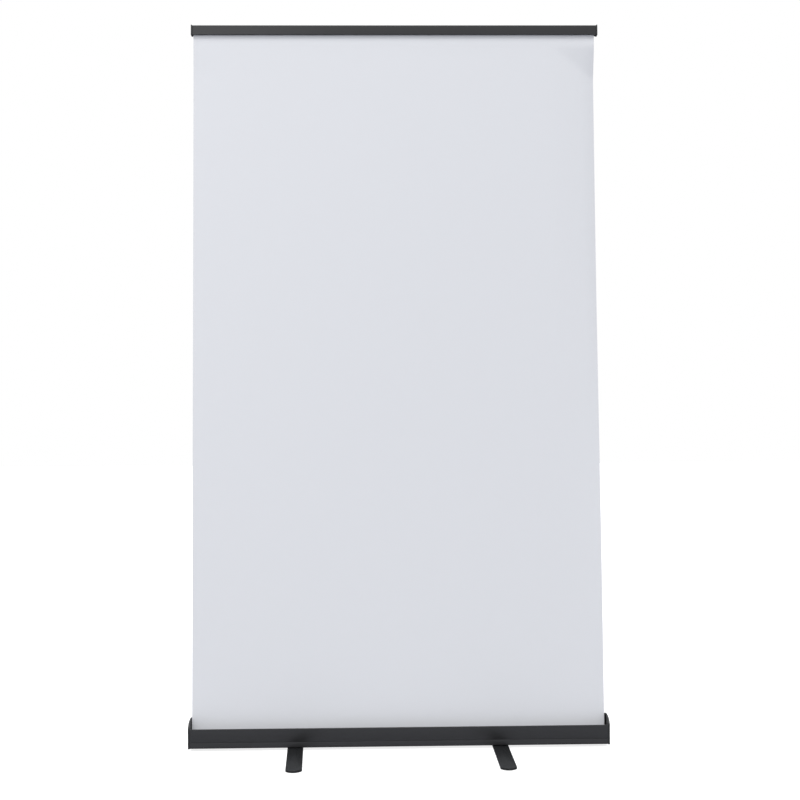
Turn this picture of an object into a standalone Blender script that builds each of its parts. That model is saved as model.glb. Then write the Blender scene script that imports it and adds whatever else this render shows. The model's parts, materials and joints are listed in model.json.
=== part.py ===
"""Roll-up banner stand, 1.2 m class: a spring-roller cassette on two swivel feet, a two-section
telescopic pole behind the banner, and a snap clamp rail that hangs on the pole's hook.

Metres, +Z up. X runs along the cassette, -Y is the front that the banner faces.
The origin is on the floor, half way along the cassette and level with the foot pivots.
"""

import math

import bmesh
import bpy
from mathutils import Matrix, Vector

# ---------------------------------------------------------------- driving sizes
CLEARANCE = 0.0003            # gap left between pieces that touch on the real stand

TOTAL_HEIGHT = 2.1305         # floor to the top of the rail's end caps
BASE_WIDTH = 1.2125           # cassette over its end caps
RAIL_OVERHANG = 0.0013        # how much further the rail reaches than the cassette, each side

SHEET_Y = -0.001              # plane of the banner, in front of the foot pivots
SHEET_THICKNESS = 0.0003
SHEET_SIDE_PLAY = 0.0055      # sheet narrower than the space between the end caps
SHEET_OFFSET = -0.0015        # sheet sits this far to the left of centre
SHEET_CLAMPED = 0.021         # how much of the sheet the clamp rail hides
WRAP_TURNS = 2                # turns of banner left on the roller when it is fully drawn

# feet
PAD_HEIGHT = 0.0015
PAD_RADIUS = 0.007
PAD_STUD_RADIUS = 0.0025
PAD_INSET = 0.018             # pad centre, back from the tip of the foot
FOOT_THICKNESS = 0.006
FOOT_WIDTH = 0.045
FOOT_HALF_LENGTH = 0.218      # pivot to tip
FOOT_END_RADIUS = 0.6 * FOOT_WIDTH
FOOT_CORNER = 0.005           # where a bowed end meets the straight sides
LEFT_FOOT_X = -0.3015
RIGHT_FOOT_X = 0.2910
LEFT_FOOT_TURN = math.radians(3.9)
RIGHT_FOOT_TURN = math.radians(0.2)
PIVOT_SCREW_RADIUS = 0.003
PIVOT_HEAD_RADIUS = 0.0060
PIVOT_HEAD_HEIGHT = 0.003
WASHER_THICKNESS = 0.0008
WASHER_RADIUS = 0.009
NUT_PLATE_SIZE = 0.024
NUT_PLATE_THICKNESS = 0.004

# cassette profile, heights measured from its underside
BASE_WALL = 0.002
BASE_HEIGHT = 0.0771          # crest of the rear shell
LIP_HEIGHT = 0.0561           # top of the front lip
SHOULDER_HEIGHT = 0.0471      # where the rear wall turns into the curved shell
LIP_REACH = 0.035             # lip front to the banner plane
TOE_SETBACK = 0.003           # the front face leans: its foot is further back than its lip
LIP_WALL = 0.0034
LIP_BEAD_HEIGHT = 0.005
SLOT_BEHIND_SHEET = 0.0045    # banner plane to the front edge of the rear shell
EDGE_RADIUS = 0.0015
CORNER_RADIUS = 0.003
GROOVE_HEIGHT = 0.0178        # middle of the groove in the front face
GROOVE_WIDTH = 0.0016
GROOVE_DEPTH = 0.0009
PORT_RADIUS = 0.0032          # screw ports inside the profile
PORT_BORE = 0.0023
FRONT_PORT_HEIGHT = 0.0046
PORT_SETBACK = 0.0005
FRONT_PORT_SINK = 0.001       # how deep the ports' walls run into the profile's walls
REAR_PORT_SINK = 0.0004

# end caps of the cassette
END_CAP_WALL = 0.004
END_CAP_PROUD = 0.001
CAP_BOSS_RADIUS = 0.005
CAP_BOSS_LENGTH = 0.006
CAP_SCREW_RADIUS = 0.002
CAP_SCREW_LENGTH = 0.014
CAP_SCREW_HEAD_RADIUS = 0.0035
CAP_SCREW_HEAD_HEIGHT = 0.0022
CAP_SCREW_HEAD_SINK = 0.0003

# spring roller
ROLLER_HEIGHT = 0.0251        # roller axis above the cassette's underside
ROLLER_RADIUS = 0.011
ROLLER_WALL = 0.0012
ROLLER_END_GAP = 0.0008
ARBOR_RADIUS = 0.003
ARBOR_LENGTH = 0.125
IDLER_LENGTH = 0.030
PLUG_LENGTH = 0.020
SPRING_WIRE_RADIUS = 0.0008
SPRING_TURNS = 20
SPRING_PITCH = 0.0035
SPRING_POINTS_PER_TURN = 12
SPRING_TUBE_GAP = 0.0006      # running gap between spring and tube
ANCHOR_LENGTH = 0.020

# pole
POLE_BEHIND_SHEET = 0.025     # pole axis behind the banner plane
LOWER_TUBE_RADIUS = 0.0095
TUBE_WALL = 0.001
TUBE_SLIDE_GAP = 0.0005       # running gap between the upper tube and the lower one's bore
LOWER_TUBE_LENGTH = 1.0724
POLE_OVERLAP = 0.090
PLUG_FLANGE = 0.002
TUBE_PLUG_DEPTH = 0.015
GUIDE_LENGTH = 0.008
GUIDE_SPIGOT = 0.020

# pole socket in the cassette
SOCKET_WALL = 0.0059
SOCKET_HALF_WIDTH = 0.020
SOCKET_HEIGHT = 0.0388
SOCKET_FLOOR = 0.0038
SOCKET_SCREW_SPREAD = 0.0145
SOCKET_SCREW_HEIGHT = 0.020
SOCKET_SCREW_LENGTH = 0.010
ROOF_HOLE_PLAY = 0.0015

# twist lock of the pole
COLLET_WALL = 0.0024
COLLET_BELOW = 0.030          # how far it reaches down the lower tube
COLLET_ABOVE = 0.018
COLLET_SLIT = 0.001
COLLET_SLIT_DEPTH = 0.012
COLLAR_WALL = 0.0025
COLLAR_RIB = 0.0007
COLLAR_RIBS = 18
COLLAR_HEIGHT = 0.040
COLLAR_TOP_WALL = 0.003

# clamp rail
RAIL_HEIGHT = 0.029           # bottom to top of the profile
RAIL_CAP_PROUD = 0.0015
RAIL_CAP_WALL = 0.003
RAIL_LEG = 0.0013             # leg that the banner is pressed on
RAIL_WALL = 0.0016
RAIL_WEB_HEIGHT = 0.015       # web above the profile's bottom edge, which rests on the tongue
RAIL_HINGE_FRONT = 0.004      # bead of the jaw's hinge, in front of the banner plane
RAIL_HINGE_DROP = 0.0028      # hinge axis below the profile's top
HINGE_BEAD_RADIUS = 0.0014
BEAD_NECK_ANGLE = 60          # degrees, up from the rear: the neck leaves the bead below this
CUP_ROOF_ANGLE = 125          # the jaw's cup runs from here, down the front and under the bead
CUP_FOOT_ANGLE = 235          # where the cup's underside meets the jaw's flat front
CUP_END_ANGLE = 310
JAW_WALL = 0.0013
JAW_FLANGE_HEIGHT = 0.008
JAW_END_GAP = 0.0005
GRIP_HEIGHT = 0.005
GRIP_THICKNESS = 0.0023
RAIL_PLUG_LENGTH = 0.012

# hook on top of the pole
TONGUE_THICKNESS = 0.0032
HOOK_HALF_WIDTH = 0.010
HOOK_ARM_HEIGHT = 0.010
HOOK_BELOW_RAIL = 0.0047      # arm's top below the rail
HOOK_SPIGOT = 0.025
HOOK_SCREW_RADIUS = 0.0015
HOOK_SCREW_HEAD_RADIUS = 0.003
HOOK_SCREW_HEAD_HEIGHT = 0.0014
HOOK_SCREW_REACH = 0.012

ROUND_SIDES = 32
SMALL_SIDES = 16
ARC_STEPS = 10
CORNER_STEPS = 4
SHARP_ANGLE = math.radians(35)
AXIS_MARK_SIZE = 0.05         # drawn size of the empties on the joints' axes

# ---------------------------------------------------------------- places worked out from them
FOOT_BOTTOM = PAD_HEIGHT
FOOT_TOP = FOOT_BOTTOM + FOOT_THICKNESS
WASHER_BOTTOM = FOOT_TOP + CLEARANCE
BASE_Z = WASHER_BOTTOM + WASHER_THICKNESS + CLEARANCE
FLOOR_TOP = BASE_Z + BASE_WALL
LIP_TOP = BASE_Z + LIP_HEIGHT
CREST = BASE_Z + BASE_HEIGHT
SHOULDER = BASE_Z + SHOULDER_HEIGHT

PROFILE_HALF = BASE_WIDTH / 2 - END_CAP_WALL - CLEARANCE
CAP_INNER_X = BASE_WIDTH / 2 - END_CAP_WALL
LIP_Y = SHEET_Y - LIP_REACH
TOE_Y = LIP_Y + TOE_SETBACK
SLOT_REAR_Y = SHEET_Y + SLOT_BEHIND_SHEET
POLE_Y = SHEET_Y + POLE_BEHIND_SHEET
SOCKET_REAR_Y = POLE_Y + LOWER_TUBE_RADIUS + CLEARANCE + SOCKET_WALL
REAR_Y = SOCKET_REAR_Y + CLEARANCE + BASE_WALL
SOCKET_FRONT_Y = POLE_Y - LOWER_TUBE_RADIUS - CLEARANCE - SOCKET_WALL / 2

WRAP_INNER = ROLLER_RADIUS + CLEARANCE
WRAP_OUTER = WRAP_INNER + WRAP_TURNS * SHEET_THICKNESS
ROLLER_Y = SHEET_Y - SHEET_THICKNESS / 2 - CLEARANCE - WRAP_OUTER
ROLLER_Z = BASE_Z + ROLLER_HEIGHT
ROLLER_HALF = CAP_INNER_X - ROLLER_END_GAP
ROLLER_BORE = ROLLER_RADIUS - ROLLER_WALL
PLUG_START_X = CAP_INNER_X - CAP_BOSS_LENGTH - 2 * CLEARANCE
SPRING_RADIUS = ROLLER_BORE - SPRING_TUBE_GAP - SPRING_WIRE_RADIUS
SPRING_START_X = -PLUG_START_X + PLUG_LENGTH + CLEARANCE + SPRING_WIRE_RADIUS
SPRING_LENGTH = SPRING_TURNS * SPRING_PITCH

FRONT_PORT = (TOE_Y + BASE_WALL + PORT_RADIUS - FRONT_PORT_SINK, BASE_Z + FRONT_PORT_HEIGHT)
REAR_PORT = (REAR_Y - BASE_WALL - PORT_RADIUS + REAR_PORT_SINK, SHOULDER)

SOCKET_BOTTOM = FLOOR_TOP + CLEARANCE
POLE_SEAT = SOCKET_BOTTOM + SOCKET_FLOOR + CLEARANCE
LOWER_TUBE_BOTTOM = POLE_SEAT + PLUG_FLANGE + CLEARANCE
LOWER_TUBE_TOP = LOWER_TUBE_BOTTOM + LOWER_TUBE_LENGTH
LOWER_TUBE_BORE = LOWER_TUBE_RADIUS - TUBE_WALL
UPPER_TUBE_RADIUS = LOWER_TUBE_BORE - TUBE_SLIDE_GAP
UPPER_TUBE_BORE = UPPER_TUBE_RADIUS - TUBE_WALL

SHEET_WIDTH = 2 * CAP_INNER_X - SHEET_SIDE_PLAY
RAIL_HALF = BASE_WIDTH / 2 + RAIL_OVERHANG
RAIL_PROFILE_HALF = RAIL_HALF - RAIL_CAP_WALL - CLEARANCE
RAIL_TOP = TOTAL_HEIGHT - RAIL_CAP_PROUD
RAIL_BOTTOM = RAIL_TOP - RAIL_HEIGHT
RAIL_WEB_BOTTOM = RAIL_BOTTOM + RAIL_WEB_HEIGHT
RAIL_LEG_FRONT = SHEET_Y + SHEET_THICKNESS / 2 + CLEARANCE
RAIL_LEG_REAR = RAIL_LEG_FRONT + RAIL_LEG
TONGUE_FRONT = RAIL_LEG_REAR + CLEARANCE
TONGUE_REAR = TONGUE_FRONT + TONGUE_THICKNESS
RAIL_BACK_FRONT = TONGUE_REAR + CLEARANCE
RAIL_BACK_REAR = RAIL_BACK_FRONT + RAIL_WALL
HINGE_Y = SHEET_Y - RAIL_HINGE_FRONT
HINGE_Z = RAIL_TOP - RAIL_HINGE_DROP
JAW_BORE = HINGE_BEAD_RADIUS + CLEARANCE
JAW_FRONT = HINGE_Y - JAW_BORE - JAW_WALL
SHEET_FRONT_FACE = SHEET_Y - SHEET_THICKNESS / 2
GRIP_REAR = SHEET_FRONT_FACE - CLEARANCE
GRIP_FRONT = GRIP_REAR - GRIP_THICKNESS

TONGUE_TOP = RAIL_WEB_BOTTOM - CLEARANCE
HOOK_ARM_TOP = RAIL_BOTTOM - HOOK_BELOW_RAIL
HOOK_ARM_BOTTOM = HOOK_ARM_TOP - HOOK_ARM_HEIGHT
UPPER_TUBE_TOP = HOOK_ARM_BOTTOM - CLEARANCE
UPPER_TUBE_BOTTOM = LOWER_TUBE_TOP - POLE_OVERLAP
COLLAR_BOTTOM = LOWER_TUBE_TOP + COLLET_ABOVE + CLEARANCE + COLLAR_TOP_WALL - COLLAR_HEIGHT
COLLET_RADIUS = LOWER_TUBE_RADIUS + CLEARANCE + COLLET_WALL
HOOK_SCREW_Z = UPPER_TUBE_TOP - HOOK_SPIGOT / 2


# ---------------------------------------------------------------- materials
def finish_material(name, colour, roughness, metallic=0.0):
    """A Principled material of one colour."""
    made = bpy.data.materials.new(name)
    made.use_nodes = True
    shader = made.node_tree.nodes["Principled BSDF"]
    shader.inputs["Base Color"].default_value = (*colour, 1.0)
    shader.inputs["Roughness"].default_value = roughness
    shader.inputs["Metallic"].default_value = metallic
    made.diffuse_color = (*colour, 1.0)
    return made


FINISHES = {
    "black_anodised": ((0.045, 0.046, 0.048), 0.42, 0.6),
    "black_plastic": ((0.028, 0.028, 0.030), 0.50, 0.0),
    "black_steel": ((0.035, 0.036, 0.038), 0.45, 0.4),
    "zinc_steel": ((0.62, 0.62, 0.60), 0.35, 1.0),
    "spring_steel": ((0.36, 0.36, 0.37), 0.32, 1.0),
    "mill_aluminium": ((0.66, 0.67, 0.68), 0.38, 1.0),
    "natural_nylon": ((0.78, 0.77, 0.72), 0.45, 0.0),
    "black_rubber": ((0.020, 0.020, 0.021), 0.85, 0.0),
    "banner_film": ((0.78, 0.79, 0.81), 0.60, 0.0),
}


# ---------------------------------------------------------------- modelling helpers
def clear_scene():
    for thing in list(bpy.data.objects):
        bpy.data.objects.remove(thing, do_unlink=True)


def group_axis(name, location, turn=0.0):
    """An empty on a joint's axis; the pieces that move together are parented to it."""
    empty = bpy.data.objects.new(name, None)
    empty.empty_display_size = AXIS_MARK_SIZE
    empty.location = location
    empty.rotation_euler.z = turn
    bpy.context.collection.objects.link(empty)
    return empty


def place(name, bm, finish, parent=None, smooth=False):
    """Turn a bmesh that is drawn in stand coordinates into an object under its parent."""
    bmesh.ops.recalc_face_normals(bm, faces=bm.faces)
    if parent is not None:
        bmesh.ops.translate(bm, verts=bm.verts, vec=-Vector(parent.location))
    mesh = bpy.data.meshes.new(name)
    bm.to_mesh(mesh)
    bm.free()
    if smooth:
        mesh.shade_smooth()
        mesh.set_sharp_from_angle(angle=SHARP_ANGLE)
    obj = bpy.data.objects.new(name, mesh)
    obj.parent = parent
    bpy.context.collection.objects.link(obj)
    if finish is not None:
        colour, roughness, metallic = FINISHES[finish]
        obj.data.materials.append(finish_material(name + "_finish", colour, roughness, metallic))
    return obj


def combine(target, shapes, operation):
    """Join or cut target with shapes that lie apart from each other, in one Boolean modifier."""
    merged = bmesh.new()
    for shape in shapes:
        bmesh.ops.recalc_face_normals(shape, faces=shape.faces)
        part = bpy.data.meshes.new("tool_part")
        shape.to_mesh(part)
        shape.free()
        merged.from_mesh(part)
        bpy.data.meshes.remove(part)
    tool = place(f"{target.name}_{operation.lower()}", merged, None, target.parent)
    tool.hide_render = True
    tool.display_type = "WIRE"
    modifier = target.modifiers.new(tool.name, "BOOLEAN")
    modifier.operation = operation
    modifier.object = tool
    modifier.solver = "EXACT"


def cut(target, *shapes):
    combine(target, shapes, "DIFFERENCE")


def join(target, *shapes):
    combine(target, shapes, "UNION")


def extrude_outline(points, vector):
    """A closed outline filled as one face and extruded along vector."""
    bm = bmesh.new()
    face = bm.faces.new([bm.verts.new(point) for point in points])
    grown = bmesh.ops.extrude_face_region(bm, geom=[face])
    moved = [item for item in grown["geom"] if isinstance(item, bmesh.types.BMVert)]
    bmesh.ops.translate(bm, verts=moved, vec=vector)
    return bm


def section_along_x(section, start, end):
    """Extrude a (y, z) section from x = start to x = end."""
    return extrude_outline([(start, y, z) for y, z in section], (end - start, 0, 0))


def plate(outline, bottom, top):
    """Extrude an (x, y) outline from z = bottom to z = top."""
    return extrude_outline([(x, y, bottom) for x, y in outline], (0, 0, top - bottom))


def block(low, high):
    """A box between two corners."""
    bm = bmesh.new()
    bmesh.ops.create_cube(bm, size=1.0)
    size = Vector(high) - Vector(low)
    bmesh.ops.scale(bm, verts=bm.verts, vec=size)
    bmesh.ops.translate(bm, verts=bm.verts, vec=(Vector(low) + Vector(high)) / 2)
    return bm


def turned(profile, centre, axis, sides, closed=False):
    """Spin a profile of (radius, distance along the axis) once round an axis through centre."""
    bm = bmesh.new()
    verts = [bm.verts.new((radius, 0, along)) for radius, along in profile]
    edges = [bm.edges.new(pair) for pair in zip(verts, verts[1:])]
    if closed:
        edges.append(bm.edges.new((verts[-1], verts[0])))
    bmesh.ops.spin(bm, geom=verts + edges, cent=(0, 0, 0), axis=(0, 0, 1), angle=2 * math.pi, steps=sides)
    bmesh.ops.remove_doubles(bm, verts=bm.verts, dist=1e-6)
    towards = Vector((0, 0, 1)).rotation_difference(Vector(axis)).to_matrix().to_4x4()
    bmesh.ops.transform(bm, verts=bm.verts, matrix=Matrix.Translation(Vector(centre)) @ towards)
    return bm


def rod(radius, start, end, centre, axis, sides=SMALL_SIDES):
    """A solid cylinder between two distances along its axis."""
    return turned([(0, start), (radius, start), (radius, end), (0, end)], centre, axis, sides)


def tube(inner, outer, start, end, centre, axis, sides=ROUND_SIDES):
    """A hollow cylinder, open at both ends."""
    profile = [(inner, start), (outer, start), (outer, end), (inner, end)]
    return turned(profile, centre, axis, sides, closed=True)


def arc(centre, radii, start, end, steps=ARC_STEPS):
    """Points of an elliptic arc, angles in degrees from the first axis towards the second."""
    angles = [math.radians(start + (end - start) * step / steps) for step in range(steps + 1)]
    return [(centre[0] + radii[0] * math.cos(a), centre[1] + radii[1] * math.sin(a)) for a in angles]


def round_rectangle(half_x, half_y, corner, centre=(0, 0), steps=CORNER_STEPS):
    """Outline of a rectangle with round corners."""
    points = []
    for sign_x, sign_y, start in ((1, 1, 0), (-1, 1, 90), (-1, -1, 180), (1, -1, 270)):
        corner_centre = (centre[0] + sign_x * (half_x - corner), centre[1] + sign_y * (half_y - corner))
        points += arc(corner_centre, (corner, corner), start, start + 90, steps)
    return points


X_AXIS = (1, 0, 0)
Y_AXIS = (0, 1, 0)
Z_AXIS = (0, 0, 1)


# ---------------------------------------------------------------- cassette
def front_face_y(height):
    """The leaning front face's y at a height above the cassette's underside."""
    return TOE_Y - TOE_SETBACK * height / LIP_HEIGHT


def cassette_section():
    """Outline of the extruded profile: leaning front with a groove, floor, rear wall, curved shell."""
    groove_low = GROOVE_HEIGHT - GROOVE_WIDTH / 2
    groove_high = GROOVE_HEIGHT + GROOVE_WIDTH / 2
    lip_corner = (LIP_Y + EDGE_RADIUS, LIP_TOP - EDGE_RADIUS)
    toe_corner = (TOE_Y + CORNER_RADIUS, BASE_Z + CORNER_RADIUS)
    heel_corner = (REAR_Y - CORNER_RADIUS, BASE_Z + CORNER_RADIUS)
    shell_centre = (SLOT_REAR_Y, SHOULDER)
    shell_radii = (REAR_Y - SLOT_REAR_Y, CREST - SHOULDER)
    inner_radii = (shell_radii[0] - BASE_WALL, shell_radii[1] - BASE_WALL)
    bead_bottom = LIP_TOP - LIP_BEAD_HEIGHT
    inner_front = front_face_y(LIP_HEIGHT / 2) + BASE_WALL

    points = arc(lip_corner, (EDGE_RADIUS, EDGE_RADIUS), 90, 180, CORNER_STEPS)
    points += [(front_face_y(groove_high), BASE_Z + groove_high)]
    points += [(front_face_y(groove_high) + GROOVE_DEPTH, BASE_Z + groove_high)]
    points += [(front_face_y(groove_low) + GROOVE_DEPTH, BASE_Z + groove_low)]
    points += [(front_face_y(groove_low), BASE_Z + groove_low)]
    points += arc(toe_corner, (CORNER_RADIUS, CORNER_RADIUS), 180, 270, CORNER_STEPS)
    points += arc(heel_corner, (CORNER_RADIUS, CORNER_RADIUS), 270, 360, CORNER_STEPS)
    points += arc(shell_centre, shell_radii, 0, 90)
    points += arc(shell_centre, inner_radii, 90, 0)
    points += [(REAR_Y - BASE_WALL, FLOOR_TOP)]
    points += [(inner_front + BASE_WALL / 2, FLOOR_TOP)]
    points += [(inner_front, bead_bottom - LIP_BEAD_HEIGHT / 2)]
    points += [(LIP_Y + LIP_WALL, bead_bottom)]
    points += [(LIP_Y + LIP_WALL, LIP_TOP)]
    return points


def build_cassette_profile():
    profile = place("base_profile", section_along_x(cassette_section(), -PROFILE_HALF, PROFILE_HALF),
                    "black_anodised")
    port_half = PROFILE_HALF - PORT_SETBACK
    ports = [(0, y, z) for y, z in (FRONT_PORT, REAR_PORT)]
    join(profile, *(rod(PORT_RADIUS, -port_half, port_half, port, X_AXIS) for port in ports))
    holes = [rod(PORT_BORE, -BASE_WIDTH, BASE_WIDTH, port, X_AXIS) for port in ports]
    for x in (LEFT_FOOT_X, RIGHT_FOOT_X):
        radius = PIVOT_SCREW_RADIUS + CLEARANCE
        holes.append(rod(radius, BASE_Z - BASE_WALL, FLOOR_TOP + BASE_WALL, (x, 0, 0), Z_AXIS))
    for x in (-SOCKET_SCREW_SPREAD, SOCKET_SCREW_SPREAD):
        centre = (x, REAR_Y, SOCKET_BOTTOM + SOCKET_SCREW_HEIGHT)
        holes.append(rod(CAP_SCREW_RADIUS + CLEARANCE, -2 * BASE_WALL, BASE_WALL, centre, Y_AXIS))
    roof_radius = LOWER_TUBE_RADIUS + ROOF_HOLE_PLAY
    roof_bottom = SHOULDER + 2 * PORT_RADIUS
    holes.append(rod(roof_radius, roof_bottom, CREST + BASE_WALL, (0, POLE_Y, 0), Z_AXIS, ROUND_SIDES))
    cut(profile, *holes)


def end_cap_outline():
    """Side view of an end cap: the cassette's outline, closed over the mouth by a quarter ellipse."""
    front = LIP_Y - END_CAP_PROUD
    toe = TOE_Y - END_CAP_PROUD
    rear = REAR_Y + END_CAP_PROUD
    bottom = BASE_Z - END_CAP_PROUD
    top = CREST + END_CAP_PROUD
    brow = LIP_TOP - EDGE_RADIUS
    toe_corner = (toe + CORNER_RADIUS, bottom + CORNER_RADIUS)
    heel_corner = (rear - CORNER_RADIUS, bottom + CORNER_RADIUS)
    points = arc((SLOT_REAR_Y, brow), (SLOT_REAR_Y - front, top - brow), 90, 180)
    points += arc(toe_corner, (CORNER_RADIUS, CORNER_RADIUS), 180, 270, CORNER_STEPS)
    points += arc(heel_corner, (CORNER_RADIUS, CORNER_RADIUS), 270, 360, CORNER_STEPS)
    points += arc((SLOT_REAR_Y, SHOULDER), (rear - SLOT_REAR_Y, top - SHOULDER), 0, 90)[:-1]
    return points


def build_end_cap(side, sign):
    """One moulded end cap with the boss that holds the roller's axle, and its two screws."""
    inner = sign * CAP_INNER_X
    outer = sign * BASE_WIDTH / 2
    cap = place(f"{side}_end_cap", section_along_x(end_cap_outline(), inner, outer), "black_plastic")
    roller_centre = (0, ROLLER_Y, ROLLER_Z)
    boss_start = inner - sign * CAP_BOSS_LENGTH
    join(cap, rod(CAP_BOSS_RADIUS, boss_start, inner + sign * END_CAP_WALL / 4, roller_centre, X_AXIS))
    hole_bottom = inner + sign * END_CAP_WALL / 2
    holes = [rod(ARBOR_RADIUS + CLEARANCE, boss_start - sign * BASE_WALL, hole_bottom, roller_centre, X_AXIS)]
    head_top = BASE_WIDTH / 2 - CAP_SCREW_HEAD_SINK
    head_bottom = head_top - CAP_SCREW_HEAD_HEIGHT
    hole = [(0, CAP_INNER_X - BASE_WALL), (CAP_SCREW_RADIUS + CLEARANCE, CAP_INNER_X - BASE_WALL)]
    hole += [(CAP_SCREW_RADIUS + CLEARANCE, head_bottom - CLEARANCE)]
    hole += [(CAP_SCREW_HEAD_RADIUS + CLEARANCE, head_bottom - CLEARANCE)]
    hole += [(CAP_SCREW_HEAD_RADIUS + CLEARANCE, head_top + BASE_WALL), (0, head_top + BASE_WALL)]
    tip = head_bottom - CAP_SCREW_LENGTH
    screw = [(0, tip), (CAP_SCREW_RADIUS, tip), (CAP_SCREW_RADIUS, head_bottom)]
    screw += [(CAP_SCREW_HEAD_RADIUS, head_bottom), (CAP_SCREW_HEAD_RADIUS, head_top), (0, head_top)]
    for name, (y, z) in (("front", FRONT_PORT), ("rear", REAR_PORT)):
        holes.append(turned(hole, (0, y, z), (sign, 0, 0), SMALL_SIDES))
        place(f"{side}_cap_screw_{name}", turned(screw, (0, y, z), (sign, 0, 0), SMALL_SIDES), "zinc_steel",
              smooth=True)
    cut(cap, *holes)


# ---------------------------------------------------------------- spring roller
def build_axles():
    """The spring arbor stands in the left end cap and the idler pin in the right one."""
    centre = (0, ROLLER_Y, ROLLER_Z)
    end = CAP_INNER_X + END_CAP_WALL / 2 - CLEARANCE
    place("spring_arbor", rod(ARBOR_RADIUS, -end, -end + ARBOR_LENGTH, centre, X_AXIS), "zinc_steel",
          smooth=True)
    place("idler_pin", rod(ARBOR_RADIUS, end - IDLER_LENGTH, end, centre, X_AXIS), "zinc_steel", smooth=True)
    anchor_end = SPRING_START_X + SPRING_LENGTH + SPRING_WIRE_RADIUS
    anchor_outer = SPRING_RADIUS - SPRING_WIRE_RADIUS - CLEARANCE
    place("spring_anchor_sleeve",
          tube(ARBOR_RADIUS + CLEARANCE, anchor_outer, anchor_end - ANCHOR_LENGTH, anchor_end, centre, X_AXIS),
          "natural_nylon", smooth=True)


def build_torsion_spring():
    """Round wire wound as a helix between the roller's plug and the sleeve on the arbor."""
    curve = bpy.data.curves.new("torsion_spring", "CURVE")
    curve.dimensions = "3D"
    curve.bevel_depth = SPRING_WIRE_RADIUS
    curve.bevel_resolution = 1
    curve.use_fill_caps = True
    spline = curve.splines.new("POLY")
    count = SPRING_TURNS * SPRING_POINTS_PER_TURN + 1
    spline.points.add(count - 1)
    for index in range(count):
        turn = index / SPRING_POINTS_PER_TURN
        angle = 2 * math.pi * turn
        x = SPRING_START_X + SPRING_PITCH * turn
        y = ROLLER_Y + SPRING_RADIUS * math.cos(angle)
        z = ROLLER_Z + SPRING_RADIUS * math.sin(angle)
        spline.points[index].co = (x, y, z, 1)
    obj = bpy.data.objects.new("torsion_spring", curve)
    bpy.context.collection.objects.link(obj)
    colour, roughness, metallic = FINISHES["spring_steel"]
    curve.materials.append(finish_material("torsion_spring_finish", colour, roughness, metallic))


def build_roller():
    """Tube, its two end plugs and the turns of banner that stay on it, all on the roller's axis."""
    centre = (0, ROLLER_Y, ROLLER_Z)
    axis = group_axis("roller_axis", centre)
    place("roller_tube", tube(ROLLER_BORE, ROLLER_RADIUS, -ROLLER_HALF, ROLLER_HALF, centre, X_AXIS),
          "mill_aluminium", axis, smooth=True)
    for name, sign in (("roller_spring_plug", -1), ("roller_idler_plug", 1)):
        start = PLUG_START_X - PLUG_LENGTH
        shape = tube(ARBOR_RADIUS + CLEARANCE, ROLLER_BORE - CLEARANCE, start, PLUG_START_X, centre, (sign, 0, 0))
        place(name, shape, "natural_nylon", axis, smooth=True)
    wrap_start = SHEET_OFFSET - SHEET_WIDTH / 2
    shape = tube(WRAP_INNER, WRAP_OUTER, wrap_start, wrap_start + SHEET_WIDTH, centre, X_AXIS)
    place("banner_wrap", shape, "banner_film", axis, smooth=True)


# ---------------------------------------------------------------- feet
def foot_outline(x):
    """Outline of a foot: straight sides and bowed ends that meet in small round corners."""
    corner_x = FOOT_WIDTH / 2 - FOOT_CORNER
    bow_y = FOOT_HALF_LENGTH - FOOT_END_RADIUS
    reach = math.sqrt((FOOT_END_RADIUS - FOOT_CORNER) ** 2 - corner_x ** 2)
    meets = math.degrees(math.atan2(reach, corner_x))
    corner = (FOOT_CORNER, FOOT_CORNER)
    bow = (FOOT_END_RADIUS, FOOT_END_RADIUS)
    points = []
    for sign, start in ((1, 0), (-1, 180)):
        first = (x + sign * corner_x, sign * (bow_y + reach))
        last = (x - sign * corner_x, sign * (bow_y + reach))
        points += arc(first, corner, start, start + meets, CORNER_STEPS)
        points += arc((x, sign * bow_y), bow, start + meets, start + 180 - meets)[1:-1]
        points += arc(last, corner, start + 180 - meets, start + 180, CORNER_STEPS)
    return points


def build_foot(side, x, turn):
    """A flat bar foot on its pivot, with two pads, and the pivot's screw, washer and nut plate."""
    pivot = group_axis(f"{side}_foot_pivot", (x, 0, 0), turn)
    foot = place(f"{side}_foot", plate(foot_outline(x), FOOT_BOTTOM, FOOT_TOP), "black_steel", pivot)
    head_bottom = FOOT_BOTTOM + CLEARANCE
    slope = (PIVOT_HEAD_RADIUS - PIVOT_SCREW_RADIUS) / PIVOT_HEAD_HEIGHT
    sink = [(0, 0), (PIVOT_HEAD_RADIUS + CLEARANCE + slope * head_bottom, 0)]
    sink += [(PIVOT_SCREW_RADIUS + CLEARANCE, head_bottom + PIVOT_HEAD_HEIGHT)]
    sink += [(PIVOT_SCREW_RADIUS + CLEARANCE, BASE_Z), (0, BASE_Z)]
    holes = [turned(sink, (x, 0, 0), Z_AXIS, SMALL_SIDES)]
    pad_y = FOOT_HALF_LENGTH - PAD_INSET
    for end, y in (("front", -pad_y), ("rear", pad_y)):
        holes.append(rod(PAD_STUD_RADIUS + CLEARANCE, 0, BASE_Z, (x, y, 0), Z_AXIS))
        stud_top = FOOT_TOP - FOOT_THICKNESS / 4
        profile = [(0, 0), (PAD_RADIUS, 0), (PAD_RADIUS, PAD_HEIGHT - CLEARANCE)]
        profile += [(PAD_STUD_RADIUS, PAD_HEIGHT - CLEARANCE), (PAD_STUD_RADIUS, stud_top), (0, stud_top)]
        place(f"{side}_{end}_pad", turned(profile, (x, y, 0), Z_AXIS, SMALL_SIDES), "black_rubber", pivot,
              smooth=True)
    cut(foot, *holes)
    build_pivot_hardware(side, x, head_bottom)


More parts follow.
